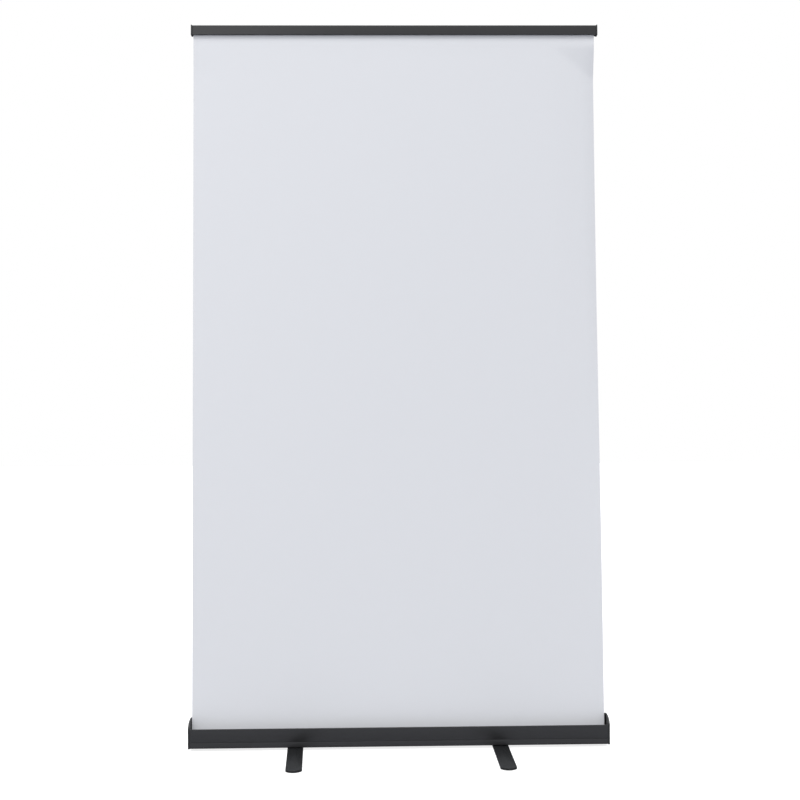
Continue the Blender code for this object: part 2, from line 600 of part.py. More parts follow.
def build_pivot_hardware(side, x, head_bottom):
    """Countersunk screw, nylon washer and the nut plate inside the cassette."""
    plate_bottom = FLOOR_TOP + CLEARANCE
    plate_top = plate_bottom + NUT_PLATE_THICKNESS
    profile = [(0, head_bottom), (PIVOT_HEAD_RADIUS, head_bottom)]
    profile += [(PIVOT_SCREW_RADIUS, head_bottom + PIVOT_HEAD_HEIGHT)]
    profile += [(PIVOT_SCREW_RADIUS, plate_top), (0, plate_top)]
    centre = (x, 0, 0)
    place(f"{side}_pivot_screw", turned(profile, centre, Z_AXIS, SMALL_SIDES), "zinc_steel", smooth=True)
    hole = PIVOT_SCREW_RADIUS + CLEARANCE
    washer_top = WASHER_BOTTOM + WASHER_THICKNESS
    place(f"{side}_pivot_washer", tube(hole, WASHER_RADIUS, WASHER_BOTTOM, washer_top, centre, Z_AXIS),
          "natural_nylon", smooth=True)
    half = NUT_PLATE_SIZE / 2
    nut = place(f"{side}_nut_plate", block((x - half, -half, plate_bottom), (x + half, half, plate_top)),
                "zinc_steel")
    cut(nut, rod(hole, BASE_Z, plate_top + BASE_WALL, centre, Z_AXIS))


# ---------------------------------------------------------------- pole
def build_pole_socket():
    """The moulded block in the cassette that the pole stands in, with its two screws."""
    socket_top = SOCKET_BOTTOM + SOCKET_HEIGHT
    low = (-SOCKET_HALF_WIDTH, SOCKET_FRONT_Y, SOCKET_BOTTOM)
    high = (SOCKET_HALF_WIDTH, SOCKET_REAR_Y, socket_top)
    socket = place("pole_socket", block(low, high), "black_plastic")
    bore_bottom = SOCKET_BOTTOM + SOCKET_FLOOR
    holes = [rod(LOWER_TUBE_RADIUS + CLEARANCE, bore_bottom, socket_top + BASE_WALL, (0, POLE_Y, 0), Z_AXIS,
                 ROUND_SIDES)]
    for name, x in (("left", -SOCKET_SCREW_SPREAD), ("right", SOCKET_SCREW_SPREAD)):
        centre = (x, REAR_Y, SOCKET_BOTTOM + SOCKET_SCREW_HEIGHT)
        tip = -SOCKET_SCREW_LENGTH
        holes.append(rod(CAP_SCREW_RADIUS + CLEARANCE, tip - CLEARANCE, BASE_WALL, centre, Y_AXIS))
        head_top = CLEARANCE + CAP_SCREW_HEAD_HEIGHT
        profile = [(0, tip), (CAP_SCREW_RADIUS, tip), (CAP_SCREW_RADIUS, CLEARANCE)]
        profile += [(CAP_SCREW_HEAD_RADIUS, CLEARANCE), (CAP_SCREW_HEAD_RADIUS, head_top), (0, head_top)]
        place(f"pole_socket_screw_{name}", turned(profile, centre, Y_AXIS, SMALL_SIDES), "zinc_steel",
              smooth=True)
    cut(socket, *holes)


def build_lower_pole():
    """Lower tube and the plug in its foot; both stand in the socket."""
    centre = (0, POLE_Y, 0)
    place("pole_lower_tube",
          tube(LOWER_TUBE_BORE, LOWER_TUBE_RADIUS, LOWER_TUBE_BOTTOM, LOWER_TUBE_TOP, centre, Z_AXIS),
          "mill_aluminium", smooth=True)
    spigot = LOWER_TUBE_BORE - CLEARANCE
    flange_top = POLE_SEAT + PLUG_FLANGE
    profile = [(0, POLE_SEAT), (LOWER_TUBE_RADIUS, POLE_SEAT), (LOWER_TUBE_RADIUS, flange_top)]
    profile += [(spigot, flange_top), (spigot, flange_top + TUBE_PLUG_DEPTH), (0, flange_top + TUBE_PLUG_DEPTH)]
    place("pole_foot_plug", turned(profile, centre, Z_AXIS, ROUND_SIDES), "black_plastic", smooth=True)


def build_twist_lock():
    """A slit collet on the lower tube's mouth and the ribbed collar that tightens it."""
    centre = (0, POLE_Y, 0)
    upper_bore = UPPER_TUBE_RADIUS + CLEARANCE
    lower_bore = LOWER_TUBE_RADIUS + CLEARANCE
    step = LOWER_TUBE_TOP + CLEARANCE
    top = LOWER_TUBE_TOP + COLLET_ABOVE
    bottom = LOWER_TUBE_TOP - COLLET_BELOW
    profile = [(lower_bore, bottom), (COLLET_RADIUS, bottom), (COLLET_RADIUS, top), (upper_bore, top)]
    profile += [(upper_bore, step), (lower_bore, step)]
    collet = place("lock_collet", turned(profile, centre, Z_AXIS, ROUND_SIDES, closed=True), "natural_nylon",
                   smooth=True)
    half = COLLET_SLIT / 2
    reach = 2 * COLLET_RADIUS
    quarter = [(half, half), (reach, half), (reach, -half)]
    cross = []
    for turn in range(4):
        for across, along in reversed(quarter):
            quarter_turn = math.pi / 2 * turn
            x = across * math.cos(quarter_turn) - along * math.sin(quarter_turn)
            y = across * math.sin(quarter_turn) + along * math.cos(quarter_turn)
            cross.append((x, POLE_Y + y))
    cut(collet, plate(cross, top - COLLET_SLIT_DEPTH, top + COLLET_SLIT))

    axis = group_axis("lock_axis", (0, POLE_Y, COLLAR_BOTTOM))
    collar_bore = COLLET_RADIUS + CLEARANCE
    outer = collar_bore + COLLAR_WALL
    sides = 2 * COLLAR_RIBS
    outline = []
    for index in range(sides):
        angle = 2 * math.pi * index / sides
        radius = outer + COLLAR_RIB * (index % 2)
        outline.append((radius * math.cos(angle), POLE_Y + radius * math.sin(angle)))
    collar_top = COLLAR_BOTTOM + COLLAR_HEIGHT
    collar = place("lock_collar", plate(outline, COLLAR_BOTTOM, collar_top), "black_plastic", axis)
    ceiling = collar_top - COLLAR_TOP_WALL
    bore = [(0, COLLAR_BOTTOM - BASE_WALL), (collar_bore, COLLAR_BOTTOM - BASE_WALL), (collar_bore, ceiling)]
    bore += [(upper_bore, ceiling), (upper_bore, collar_top + BASE_WALL), (0, collar_top + BASE_WALL)]
    cut(collar, turned(bore, centre, Z_AXIS, ROUND_SIDES))


def build_upper_pole():
    """Upper tube, the guide in its foot, and the hook with its screw on its top."""
    axis = group_axis("pole_slide", (0, POLE_Y, UPPER_TUBE_BOTTOM))
    centre = (0, POLE_Y, 0)
    place("pole_upper_tube",
          tube(UPPER_TUBE_BORE, UPPER_TUBE_RADIUS, UPPER_TUBE_BOTTOM, UPPER_TUBE_TOP, centre, Z_AXIS),
          "mill_aluminium", axis, smooth=True)
    guide = LOWER_TUBE_BORE - CLEARANCE
    spigot = UPPER_TUBE_BORE - CLEARANCE
    guide_top = UPPER_TUBE_BOTTOM - CLEARANCE
    guide_bottom = guide_top - GUIDE_LENGTH
    profile = [(0, guide_bottom), (guide, guide_bottom), (guide, guide_top), (spigot, guide_top)]
    profile += [(spigot, guide_top + GUIDE_SPIGOT), (0, guide_top + GUIDE_SPIGOT)]
    place("pole_guide_plug", turned(profile, centre, Z_AXIS, ROUND_SIDES), "natural_nylon", axis, smooth=True)
    build_top_hook(axis, centre, spigot)


def build_top_hook(axis, centre, spigot):
    """An arm from the pole to the rail, its tongue standing up into the rail's rear channel."""
    rear = POLE_Y + UPPER_TUBE_RADIUS
    side_view = [(TONGUE_FRONT, HOOK_ARM_BOTTOM), (rear, HOOK_ARM_BOTTOM), (rear, HOOK_ARM_TOP)]
    side_view += [(TONGUE_REAR, HOOK_ARM_TOP), (TONGUE_REAR, TONGUE_TOP), (TONGUE_FRONT, TONGUE_TOP)]
    hook = place("pole_top_hook", section_along_x(side_view, -HOOK_HALF_WIDTH, HOOK_HALF_WIDTH),
                 "black_plastic", axis)
    spigot_bottom = HOOK_ARM_BOTTOM - HOOK_SPIGOT
    middle = (HOOK_ARM_BOTTOM + HOOK_ARM_TOP) / 2
    join(hook, rod(spigot, spigot_bottom, middle, centre, Z_AXIS, ROUND_SIDES))
    screw_centre = (0, POLE_Y + UPPER_TUBE_RADIUS, HOOK_SCREW_Z)
    cut(hook, rod(HOOK_SCREW_RADIUS + CLEARANCE, -HOOK_SCREW_REACH - CLEARANCE, BASE_WALL, screw_centre, Y_AXIS))
    tube_object = bpy.data.objects["pole_upper_tube"]
    cut(tube_object, rod(HOOK_SCREW_RADIUS + CLEARANCE, -2 * TUBE_WALL, BASE_WALL, screw_centre, Y_AXIS))
    head_top = CLEARANCE + HOOK_SCREW_HEAD_HEIGHT
    profile = [(0, -HOOK_SCREW_REACH), (HOOK_SCREW_RADIUS, -HOOK_SCREW_REACH)]
    profile += [(HOOK_SCREW_RADIUS, CLEARANCE), (HOOK_SCREW_HEAD_RADIUS, CLEARANCE)]
    profile += [(HOOK_SCREW_HEAD_RADIUS, head_top), (0, head_top)]
    place("pole_hook_screw", turned(profile, screw_centre, Y_AXIS, SMALL_SIDES), "zinc_steel", axis, smooth=True)


# ---------------------------------------------------------------- clamp rail and banner
def rail_back_section():
    """Outline of the fixed half: rear plate, top plate with the hinge bead, web and pressing leg."""
    web_top = RAIL_WEB_BOTTOM + RAIL_WALL
    roof_bottom = RAIL_TOP - RAIL_WALL
    neck_y = HINGE_Y + HINGE_BEAD_RADIUS
    bead = arc((HINGE_Y, HINGE_Z), (HINGE_BEAD_RADIUS, HINGE_BEAD_RADIUS), BEAD_NECK_ANGLE, 360)
    points = [(RAIL_BACK_REAR, RAIL_BOTTOM), (RAIL_BACK_REAR, RAIL_TOP), (neck_y, RAIL_TOP)]
    points += bead
    points += [(neck_y + RAIL_WALL / 2, roof_bottom), (RAIL_BACK_FRONT, roof_bottom)]
    points += [(RAIL_BACK_FRONT, web_top), (RAIL_LEG_FRONT, web_top), (RAIL_LEG_FRONT, RAIL_BOTTOM)]
    points += [(RAIL_LEG_REAR, RAIL_BOTTOM), (RAIL_LEG_REAR, RAIL_WEB_BOTTOM)]
    points += [(RAIL_BACK_FRONT, RAIL_WEB_BOTTOM), (RAIL_BACK_FRONT, RAIL_BOTTOM)]
    return points


def rail_jaw_section():
    """Outline of the front half: a cup round the hinge bead, a flat front and a lip with a flange."""
    hinge = (HINGE_Y, HINGE_Z)
    outer = JAW_BORE + JAW_WALL
    flange_rear = GRIP_FRONT - CLEARANCE
    flange_front = flange_rear - JAW_WALL
    foot_top = RAIL_BOTTOM + JAW_WALL
    points = arc(hinge, (outer, outer), CUP_ROOF_ANGLE, 180)
    points += [(JAW_FRONT, RAIL_BOTTOM + EDGE_RADIUS), (JAW_FRONT + EDGE_RADIUS, RAIL_BOTTOM)]
    points += [(flange_rear, RAIL_BOTTOM), (flange_rear, RAIL_BOTTOM + JAW_FLANGE_HEIGHT)]
    points += [(flange_front, RAIL_BOTTOM + JAW_FLANGE_HEIGHT), (flange_front, foot_top)]
    points += [(JAW_FRONT + JAW_WALL, foot_top)]
    points += arc(hinge, (outer, outer), CUP_FOOT_ANGLE, CUP_END_ANGLE)
    points += arc(hinge, (JAW_BORE, JAW_BORE), CUP_END_ANGLE, CUP_ROOF_ANGLE)
    return points


def build_rail():
    """Clamp rail: fixed back half with its end caps, and the jaw with its grip strip."""
    seat = group_axis("rail_seat", (0, SHEET_Y, RAIL_BOTTOM))
    place("rail_back_profile", section_along_x(rail_back_section(), -RAIL_PROFILE_HALF, RAIL_PROFILE_HALF),
          "black_anodised", seat)
    half_y = (RAIL_BACK_REAR - JAW_FRONT) / 2 + RAIL_CAP_PROUD
    half_z = RAIL_HEIGHT / 2 + RAIL_CAP_PROUD
    middle = ((RAIL_BACK_REAR + JAW_FRONT) / 2, (RAIL_TOP + RAIL_BOTTOM) / 2)
    outline = round_rectangle(half_y, half_z, CORNER_RADIUS, middle)
    plug_bottom = RAIL_WEB_BOTTOM + RAIL_WALL + CLEARANCE
    plug_top = RAIL_TOP - RAIL_WALL - CLEARANCE
    for side, sign in (("left", -1), ("right", 1)):
        inner = sign * (RAIL_HALF - RAIL_CAP_WALL)
        cap = place(f"rail_{side}_cap", section_along_x(outline, inner, sign * RAIL_HALF), "black_plastic", seat)
        ends = sorted((inner - sign * RAIL_PLUG_LENGTH, inner + sign * RAIL_CAP_WALL / 2))
        join(cap, block((ends[0], TONGUE_FRONT, plug_bottom), (ends[1], TONGUE_REAR, plug_top)))

    hinge = group_axis("jaw_hinge", (0, HINGE_Y, HINGE_Z))
    jaw_half = RAIL_PROFILE_HALF - JAW_END_GAP
    place("rail_front_jaw", section_along_x(rail_jaw_section(), -jaw_half, jaw_half), "black_anodised", hinge)
    grip_bottom = RAIL_BOTTOM + EDGE_RADIUS
    place("jaw_grip_strip", block((-jaw_half, GRIP_FRONT, grip_bottom),
                                  (jaw_half, GRIP_REAR, grip_bottom + GRIP_HEIGHT)), "black_rubber", hinge)


def build_banner():
    """The banner as a flat sheet, from where it leaves the roller to inside the clamp rail."""
    half = SHEET_WIDTH / 2
    low = (SHEET_OFFSET - half, SHEET_FRONT_FACE, ROLLER_Z)
    high = (SHEET_OFFSET + half, SHEET_FRONT_FACE + SHEET_THICKNESS, RAIL_BOTTOM + SHEET_CLAMPED)
    place("banner_sheet", block(low, high), "banner_film")


def main():
    clear_scene()
    build_cassette_profile()
    build_end_cap("left", -1)
    build_end_cap("right", 1)
    build_axles()
    build_torsion_spring()
    build_roller()
    build_foot("left", LEFT_FOOT_X, LEFT_FOOT_TURN)
    build_foot("right", RIGHT_FOOT_X, RIGHT_FOOT_TURN)
    build_pole_socket()
    build_lower_pole()
    build_twist_lock()
    build_upper_pole()
    build_rail()
    build_banner()


main()
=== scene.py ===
"""Finished surfaces of a roll-up banner stand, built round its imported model.

Metres, +Z up. X runs along the cassette and the banner faces -Y.
"""
import json
import math

import bmesh
import bpy
from bpy.props import FloatProperty, FloatVectorProperty, IntProperty, PointerProperty
from mathutils import Matrix, Vector


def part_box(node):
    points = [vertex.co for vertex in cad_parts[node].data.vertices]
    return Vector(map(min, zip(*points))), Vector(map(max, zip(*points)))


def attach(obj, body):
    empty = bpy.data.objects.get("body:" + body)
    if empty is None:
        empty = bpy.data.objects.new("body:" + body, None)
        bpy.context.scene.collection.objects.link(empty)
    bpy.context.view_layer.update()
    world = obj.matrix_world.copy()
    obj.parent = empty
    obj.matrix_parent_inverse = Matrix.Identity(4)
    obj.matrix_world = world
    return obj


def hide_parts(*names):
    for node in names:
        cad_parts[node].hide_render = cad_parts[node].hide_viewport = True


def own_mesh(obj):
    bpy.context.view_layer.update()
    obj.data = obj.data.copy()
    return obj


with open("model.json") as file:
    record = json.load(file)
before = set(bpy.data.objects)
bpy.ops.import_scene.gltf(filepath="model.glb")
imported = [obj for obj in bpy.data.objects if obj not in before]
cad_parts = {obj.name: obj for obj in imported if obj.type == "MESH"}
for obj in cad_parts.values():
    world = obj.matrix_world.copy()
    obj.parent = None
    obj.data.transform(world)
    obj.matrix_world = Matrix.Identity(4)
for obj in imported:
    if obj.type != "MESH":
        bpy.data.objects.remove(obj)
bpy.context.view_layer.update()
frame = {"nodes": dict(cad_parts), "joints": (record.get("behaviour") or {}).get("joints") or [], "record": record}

bl_info = {
    "name": "Roll-up Banner Stand",
    "version": (1, 0, 0),
    "blender": (4, 5, 0),
    "location": "View3D > Sidebar > Banner Stand",
    "description": "Builds a roll-up banner stand's finished pieces and a plain studio round it",
    "category": "Object",
}

MM = 0.001


def linear(hex_colour):
    """An sRGB hex colour as linear red, green, blue and alpha."""
    parts = [int(hex_colour[start:start + 2], 16) / 255 for start in (1, 3, 5)]
    parts = [part / 12.92 if part <= 0.04045 else ((part + 0.055) / 1.055) ** 2.4 for part in parts]
    return (*parts, 1.0)


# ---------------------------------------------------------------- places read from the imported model
PROFILE_LOW, PROFILE_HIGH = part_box("base_profile")
CAP_LOW, CAP_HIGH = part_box("left_end_cap")
SHEET_LOW, SHEET_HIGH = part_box("banner_sheet")
ROLLER_LOW, ROLLER_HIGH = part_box("roller_tube")
LOWER_TUBE_LOW, LOWER_TUBE_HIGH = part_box("pole_lower_tube")
UPPER_TUBE_LOW, UPPER_TUBE_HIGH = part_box("pole_upper_tube")
COLLET_LOW, COLLET_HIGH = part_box("lock_collet")
COLLAR_LOW, COLLAR_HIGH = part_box("lock_collar")
HOOK_LOW, HOOK_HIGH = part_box("pole_top_hook")
RAIL_LOW, RAIL_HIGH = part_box("rail_back_profile")
JAW_LOW, JAW_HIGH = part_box("rail_front_jaw")
POLE_AXIS = (LOWER_TUBE_LOW + LOWER_TUBE_HIGH) / 2
UPPER_TUBE_RADIUS = (UPPER_TUBE_HIGH.x - UPPER_TUBE_LOW.x) / 2
LOWER_TUBE_RADIUS = (LOWER_TUBE_HIGH.x - LOWER_TUBE_LOW.x) / 2
SHEET_MIDDLE = (SHEET_LOW + SHEET_HIGH) / 2
JOINTS = {joint["name"]: joint for joint in frame["joints"]}


# ---------------------------------------------------------------- settings a user would change
def length_setting(name, description, millimetres):
    """A length setting whose default is given in millimetres."""
    return FloatProperty(name=name, description=description, default=millimetres * MM,
                         subtype="DISTANCE", unit="LENGTH")


def colour_setting(name, description, hex_colour):
    """A colour setting whose default is given as sRGB hex."""
    return FloatVectorProperty(name=name, description=description, default=linear(hex_colour),
                               size=4, min=0.0, max=1.0, subtype="COLOR")


class BannerStandSizes(bpy.types.PropertyGroup):
    wall: length_setting("Profile wall", "Wall of the cassette's extrusion", 2.0)
    lip_height: length_setting("Lip height", "Front lip above the cassette's underside", 56.1)
    lip_wall: length_setting("Lip bead", "Thickness of the bead along the lip", 3.4)
    toe_setback: length_setting("Front lean", "How far the front's foot is behind its lip", 3.0)
    slot_depth: length_setting("Mouth", "Lip front to the rear shell's front edge", 39.5)
    shoulder_height: length_setting("Shoulder", "Where the rear wall turns into the curved shell", 47.1)
    groove_height: length_setting("Groove height", "Middle of the groove above the underside", 17.8)
    groove_width: length_setting("Groove width", "Groove along the front face", 1.6)
    groove_depth: length_setting("Groove depth", "Depth of the groove in the front face", 0.9)
    edge: length_setting("Edge rounding", "Rounding of extruded and moulded edges", 0.4)
    corner: length_setting("Corner rounding", "Rounding of the profile's lower corners", 3.0)
    panel_margin: length_setting("Cap panel margin", "Rim round the panel sunk in each end cap", 5.0)
    panel_depth: length_setting("Cap panel depth", "Depth of the panel sunk in each end cap", 0.5)
    foot_width: length_setting("Foot width", "Width of the flat bar of the feet", 45.0)
    foot_end: length_setting("Foot end", "Radius of the bowed ends of the feet", 27.0)
    foot_corner: length_setting("Foot corner", "Radius where a foot's end meets its sides", 5.0)
    foot_edge: length_setting("Foot edge", "Rounding along the edges of the feet", 0.8)
    collar_bore_gap: length_setting("Collar gap", "Gap between the lock collar and its collet", 0.3)
    rib_height: length_setting("Grip rib", "Height of the ribs on the lock collar", 0.7)
    film_thickness: length_setting("Film thickness", "Thickness of the banner", 0.3)
    left_curl: length_setting("Left curl", "How far the banner's left edge leans back", 1.5)
    right_curl: length_setting("Right curl", "How far the banner's right edge leans back", 12.5)
    curl_width: length_setting("Curl width", "Width of the strip that leans back along each edge", 125.0)
    wave: length_setting("Waviness", "Height of the long soft waves in the banner", 0.9)
    edge_roll: length_setting("Edge roll", "How far the right edge rolls back along its last strip", 7.0)
    roll_width: length_setting("Roll width", "Width of the strip that rolls back at the right edge", 45.0)
    fold_top: length_setting("Fold top", "Sheet's top to where its right edge starts to lean back", 55.0)
    fold_length: length_setting("Fold length", "Height of the slanting fold at the right edge", 90.0)


class BannerStandColours(bpy.types.PropertyGroup):
    anodised: colour_setting("Anodised aluminium", "Cassette and clamp rail", "#2c2c2d")
    moulded: colour_setting("Moulded ABS", "End caps, hook, collar and socket", "#161718")
    powder: colour_setting("Powder coat", "Feet", "#171819")
    zinc: colour_setting("Zinc plating", "Screws, pins and nut plates", "#c3c5c8")
    spring: colour_setting("Spring steel", "Torsion spring", "#86858a")
    drawn: colour_setting("Drawn aluminium", "Pole and roller tubes", "#d2d4d6")
    nylon: colour_setting("Natural nylon", "Collet, washers and plugs", "#dedbd0")
    rubber: colour_setting("Rubber", "Pads and grip strip", "#1a1a1b")
    film: colour_setting("Banner film", "Front of the banner", "#c8c9cc")
    film_back: colour_setting("Banner back", "Grey light-stopping layer on the back", "#b9bbbd")


class BannerStandStudio(bpy.types.PropertyGroup):
    camera_place: FloatVectorProperty(name="Camera place", description="Where the camera stands",
                                      default=(-0.0355, -2.8, 0.8931), subtype="TRANSLATION", unit="LENGTH")
    yaw: FloatProperty(name="Yaw", description="Turn of the camera to the left",
                       default=math.radians(-0.895), subtype="ANGLE", unit="ROTATION")
    pitch: FloatProperty(name="Pitch", description="Tilt of the camera upwards",
                         default=math.radians(2.332), subtype="ANGLE", unit="ROTATION")
    roll: FloatProperty(name="Roll", description="Turn of the camera about its own axis",
                        default=math.radians(-0.39), subtype="ANGLE", unit="ROTATION")
    lens: FloatProperty(name="Lens", description="Focal length on a 36 mm sensor, in millimetres",
                        default=42.75)
    sky: FloatProperty(name="Sky light", description="Strength of the even light from all round",
                       default=0.93)
    key: FloatProperty(name="Key light", description="Power of the large light at the upper left",
                       default=12.0, subtype="POWER", unit="POWER")
    top: FloatProperty(name="Top light", description="Strength of the light from high in front", default=2.3)
    top_angle: FloatProperty(name="Top light's height", description="Angle of the top light above the floor",
                             default=math.radians(62), subtype="ANGLE", unit="ROTATION")


# ---------------------------------------------------------------- material helpers
GRAIN_RANGE = (0.3, 0.7)  # what a grain's noise runs between, but for rare peaks


def add_node(tree, kind, settings=None, values=None, links=None):
    """Add one node with its settings, the values of its sockets and the links into them."""
    made = tree.nodes.new(kind)
    for name, setting in (settings or {}).items():
        setattr(made, name, setting)
    for socket, value in (values or {}).items():
        made.inputs[socket].default_value = value
    for socket, source in (links or {}).items():
        tree.links.new(source, made.inputs[socket])
    return made


def start_material(name, **constants):
    """A node material whose shader has these constants on its own sockets."""
    material = bpy.data.materials.new(name)
    material.use_nodes = True
    shader = material.node_tree.nodes["Principled BSDF"]
    for socket, value in constants.items():
        shader.inputs[socket.replace("_", " ")].default_value = value
    return material, material.node_tree, shader


def surface_grain(tree, size, detail=3.0):
    """Noise on the piece's own coordinates, whose grain has this size along x, y and z in metres."""
    place = add_node(tree, "ShaderNodeTexCoord")
    stretch = add_node(tree, "ShaderNodeMapping", values={"Scale": [1 / side for side in size]},
                       links={"Vector": place.outputs["Object"]})
    return add_node(tree, "ShaderNodeTexNoise", values={"Scale": 1.0, "Detail": detail, "Roughness": 0.6},
                    links={"Vector": stretch.outputs["Vector"]})


def vary(tree, shader, grain, colour, spread, roughness, depth):
    """Let a grain vary the colour by spread, the roughness between two values and the height by depth."""
    tone = add_node(tree, "ShaderNodeValToRGB", links={"Fac": grain.outputs["Fac"]})
    for stop, place, factor in zip(tone.color_ramp.elements, GRAIN_RANGE, (1 - spread, 1 + spread)):
        stop.color = (*[min(part * factor, 1.0) for part in colour[:3]], 1.0)
        stop.position = place
    tree.links.new(tone.outputs["Color"], shader.inputs["Base Color"])
    gloss = add_node(tree, "ShaderNodeMapRange", links={"Value": grain.outputs["Fac"]},
                     values={"From Min": GRAIN_RANGE[0], "From Max": GRAIN_RANGE[1],
                             "To Min": roughness[0], "To Max": roughness[1]})
    tree.links.new(gloss.outputs["Result"], shader.inputs["Roughness"])
    relief = add_node(tree, "ShaderNodeBump", values={"Strength": 1.0, "Distance": depth},
                      links={"Height": grain.outputs["Fac"]})
    tree.links.new(relief.outputs["Normal"], shader.inputs["Normal"])


def anodised_aluminium(colour):
    """Black anodised aluminium: extruded, so faint die lines run along it under a satin oxide."""
    material, tree, shader = start_material("black_anodised_aluminium", Metallic=0.35, Anisotropic=0.4)
    die_lines = surface_grain(tree, (260 * MM, 1.2 * MM, 1.2 * MM))
    vary(tree, shader, die_lines, colour, 0.05, (0.38, 0.43), 0.003 * MM)
    return material


def moulded_abs(colour):
    """Black ABS: injection moulded in a spark-eroded mould, so it has a fine matt stipple."""
    material, tree, shader = start_material("black_abs_moulded", IOR=1.54)
    stipple = surface_grain(tree, (0.9 * MM, 0.9 * MM, 0.9 * MM))
    vary(tree, shader, stipple, colour, 0.12, (0.46, 0.60), 0.03 * MM)
    return material


def powder_coated_steel(colour):
    """Black powder coat on steel: baked on, so it has a soft orange peel and a low gloss."""
    material, tree, shader = start_material("black_powder_coat", IOR=1.5, Specular_IOR_Level=0.25)
    peel = surface_grain(tree, (2.2 * MM, 2.2 * MM, 2.2 * MM), detail=2.0)
    vary(tree, shader, peel, colour, 0.10, (0.40, 0.52), 0.05 * MM)
    return material


def zinc_plated_steel(colour):
    """Zinc plating: barrel plated, so it is bright with small dull clouds."""
    material, tree, shader = start_material("zinc_plated_steel", Metallic=1.0)
    clouds = surface_grain(tree, (1.5 * MM, 1.5 * MM, 1.5 * MM))
    vary(tree, shader, clouds, colour, 0.12, (0.24, 0.42), 0.004 * MM)
    return material


def spring_steel(colour):
    """Spring steel: drawn wire, oiled, so it is a darker grey with a streaky shine."""
    material, tree, shader = start_material("oiled_spring_steel", Metallic=1.0)
    streaks = surface_grain(tree, (2.0 * MM, 0.8 * MM, 0.8 * MM))
    vary(tree, shader, streaks, colour, 0.18, (0.22, 0.38), 0.004 * MM)
    return material


def drawn_aluminium(name, colour, along):
    """Drawn aluminium tube: pulled through a die, so fine bright lines run along it."""
    material, tree, shader = start_material(name, Metallic=1.0, Anisotropic=0.5)
    fine = 0.8 * MM
    die_lines = surface_grain(tree, [fine if axis != along else 300 * MM for axis in range(3)])
    vary(tree, shader, die_lines, colour, 0.06, (0.26, 0.38), 0.005 * MM)
    return material


def natural_nylon(colour):
    """Undyed nylon: moulded, slightly waxy, and a little light passes into it."""
    material, tree, shader = start_material("natural_nylon_moulded", IOR=1.53, Subsurface_Weight=0.15,
                                            Subsurface_Scale=1.5 * MM)
    flow = surface_grain(tree, (3 * MM, 3 * MM, 3 * MM))
    vary(tree, shader, flow, colour, 0.05, (0.34, 0.46), 0.01 * MM)
    return material


def black_rubber(colour):
    """Black rubber: pressed and dusty, so it is matt and slightly uneven in tone."""
    material, tree, shader = start_material("black_rubber_pressed", IOR=1.52)
    dust = surface_grain(tree, (0.7 * MM, 0.7 * MM, 0.7 * MM))
    vary(tree, shader, dust, colour, 0.25, (0.72, 0.88), 0.03 * MM)
    return material


def banner_film(name, colour, roughness):
    """Coated polyester film: matt, with a grain drawn coarser than the real one so that it shows."""
    material, tree, shader = start_material(name, IOR=1.5, Specular_IOR_Level=0.35, Sheen_Weight=0.05)
    coating = surface_grain(tree, (1.6 * MM, 1.6 * MM, 1.6 * MM))
    vary(tree, shader, coating, colour, 0.006, roughness, 0.008 * MM)
    return material


def make_materials(colours):
    """Every finish of the stand, by the name of its slot in the record."""
    return {
        "black_anodised": anodised_aluminium(colours.anodised),
        "black_plastic": moulded_abs(colours.moulded),
        "black_steel": powder_coated_steel(colours.powder),
        "zinc_steel": zinc_plated_steel(colours.zinc),
        "spring_steel": spring_steel(colours.spring),
        "mill_aluminium": drawn_aluminium("drawn_aluminium_pole", colours.drawn, along=2),
        "roller_aluminium": drawn_aluminium("drawn_aluminium_roller", colours.drawn, along=0),
        "natural_nylon": natural_nylon(colours.nylon),
        "black_rubber": black_rubber(colours.rubber),
        "banner_film": banner_film("banner_film_front", colours.film, (0.55, 0.66)),
        "film_back": banner_film("banner_film_back", colours.film_back, (0.45, 0.55)),
    }


MATERIAL_NAMES = {}


def finish(slot):
    """The material of a slot, made with the others the first time one is asked for."""
    if not MATERIAL_NAMES:
        made = make_materials(bpy.context.scene.banner_stand_colours)
        MATERIAL_NAMES.update({name: material.name for name, material in made.items()})
    return bpy.data.materials[MATERIAL_NAMES[slot]]


# ---------------------------------------------------------------- modelling helpers
WELD = 0.001 * MM  # points nearer than this are one point
SHARP = 35  # degrees between two faces, past which their edge stays sharp


def add_piece(name, add, scale=(1, 1, 1), **how):
    """Deselect everything, run one primitive operator, and name and scale what it adds."""
    bpy.ops.object.select_all(action="DESELECT")
    add(**how)
    piece = bpy.context.object
    piece.scale = scale
    piece.name = name
    piece.data.name = name
    return piece


def select_only(piece):
    """Make one piece the selected and the active one."""
    bpy.ops.object.select_all(action="DESELECT")
    piece.select_set(True)
    bpy.context.view_layer.objects.active = piece


def edit(piece):
    """Open a piece in edit mode with all its points selected."""
    select_only(piece)
    bpy.ops.object.mode_set(mode="EDIT")
    bpy.ops.mesh.select_mode(type="VERT")
    bpy.ops.mesh.select_all(action="SELECT")


def settle(piece):
    """Leave edit mode and put the piece's place into its mesh."""
    if bpy.context.mode != "OBJECT":
        bpy.ops.object.mode_set(mode="OBJECT")
    select_only(piece)
    bpy.ops.object.transform_apply(location=True, rotation=True, scale=True)


def pick_faces(piece, wanted):
    """In edit mode, select the faces whose middle and normal pass a test."""
    bpy.ops.mesh.select_all(action="DESELECT")
    bpy.ops.mesh.select_mode(type="FACE")
    mesh = bmesh.from_edit_mesh(piece.data)
    for face in mesh.faces:
        face.select_set(wanted(face.calc_center_median(), face.normal))
    bmesh.update_edit_mesh(piece.data)


def extrude(*step):
    """In edit mode, extrude what is selected by a step."""
    bpy.ops.mesh.extrude_region_move(TRANSFORM_OT_translate={"value": step})


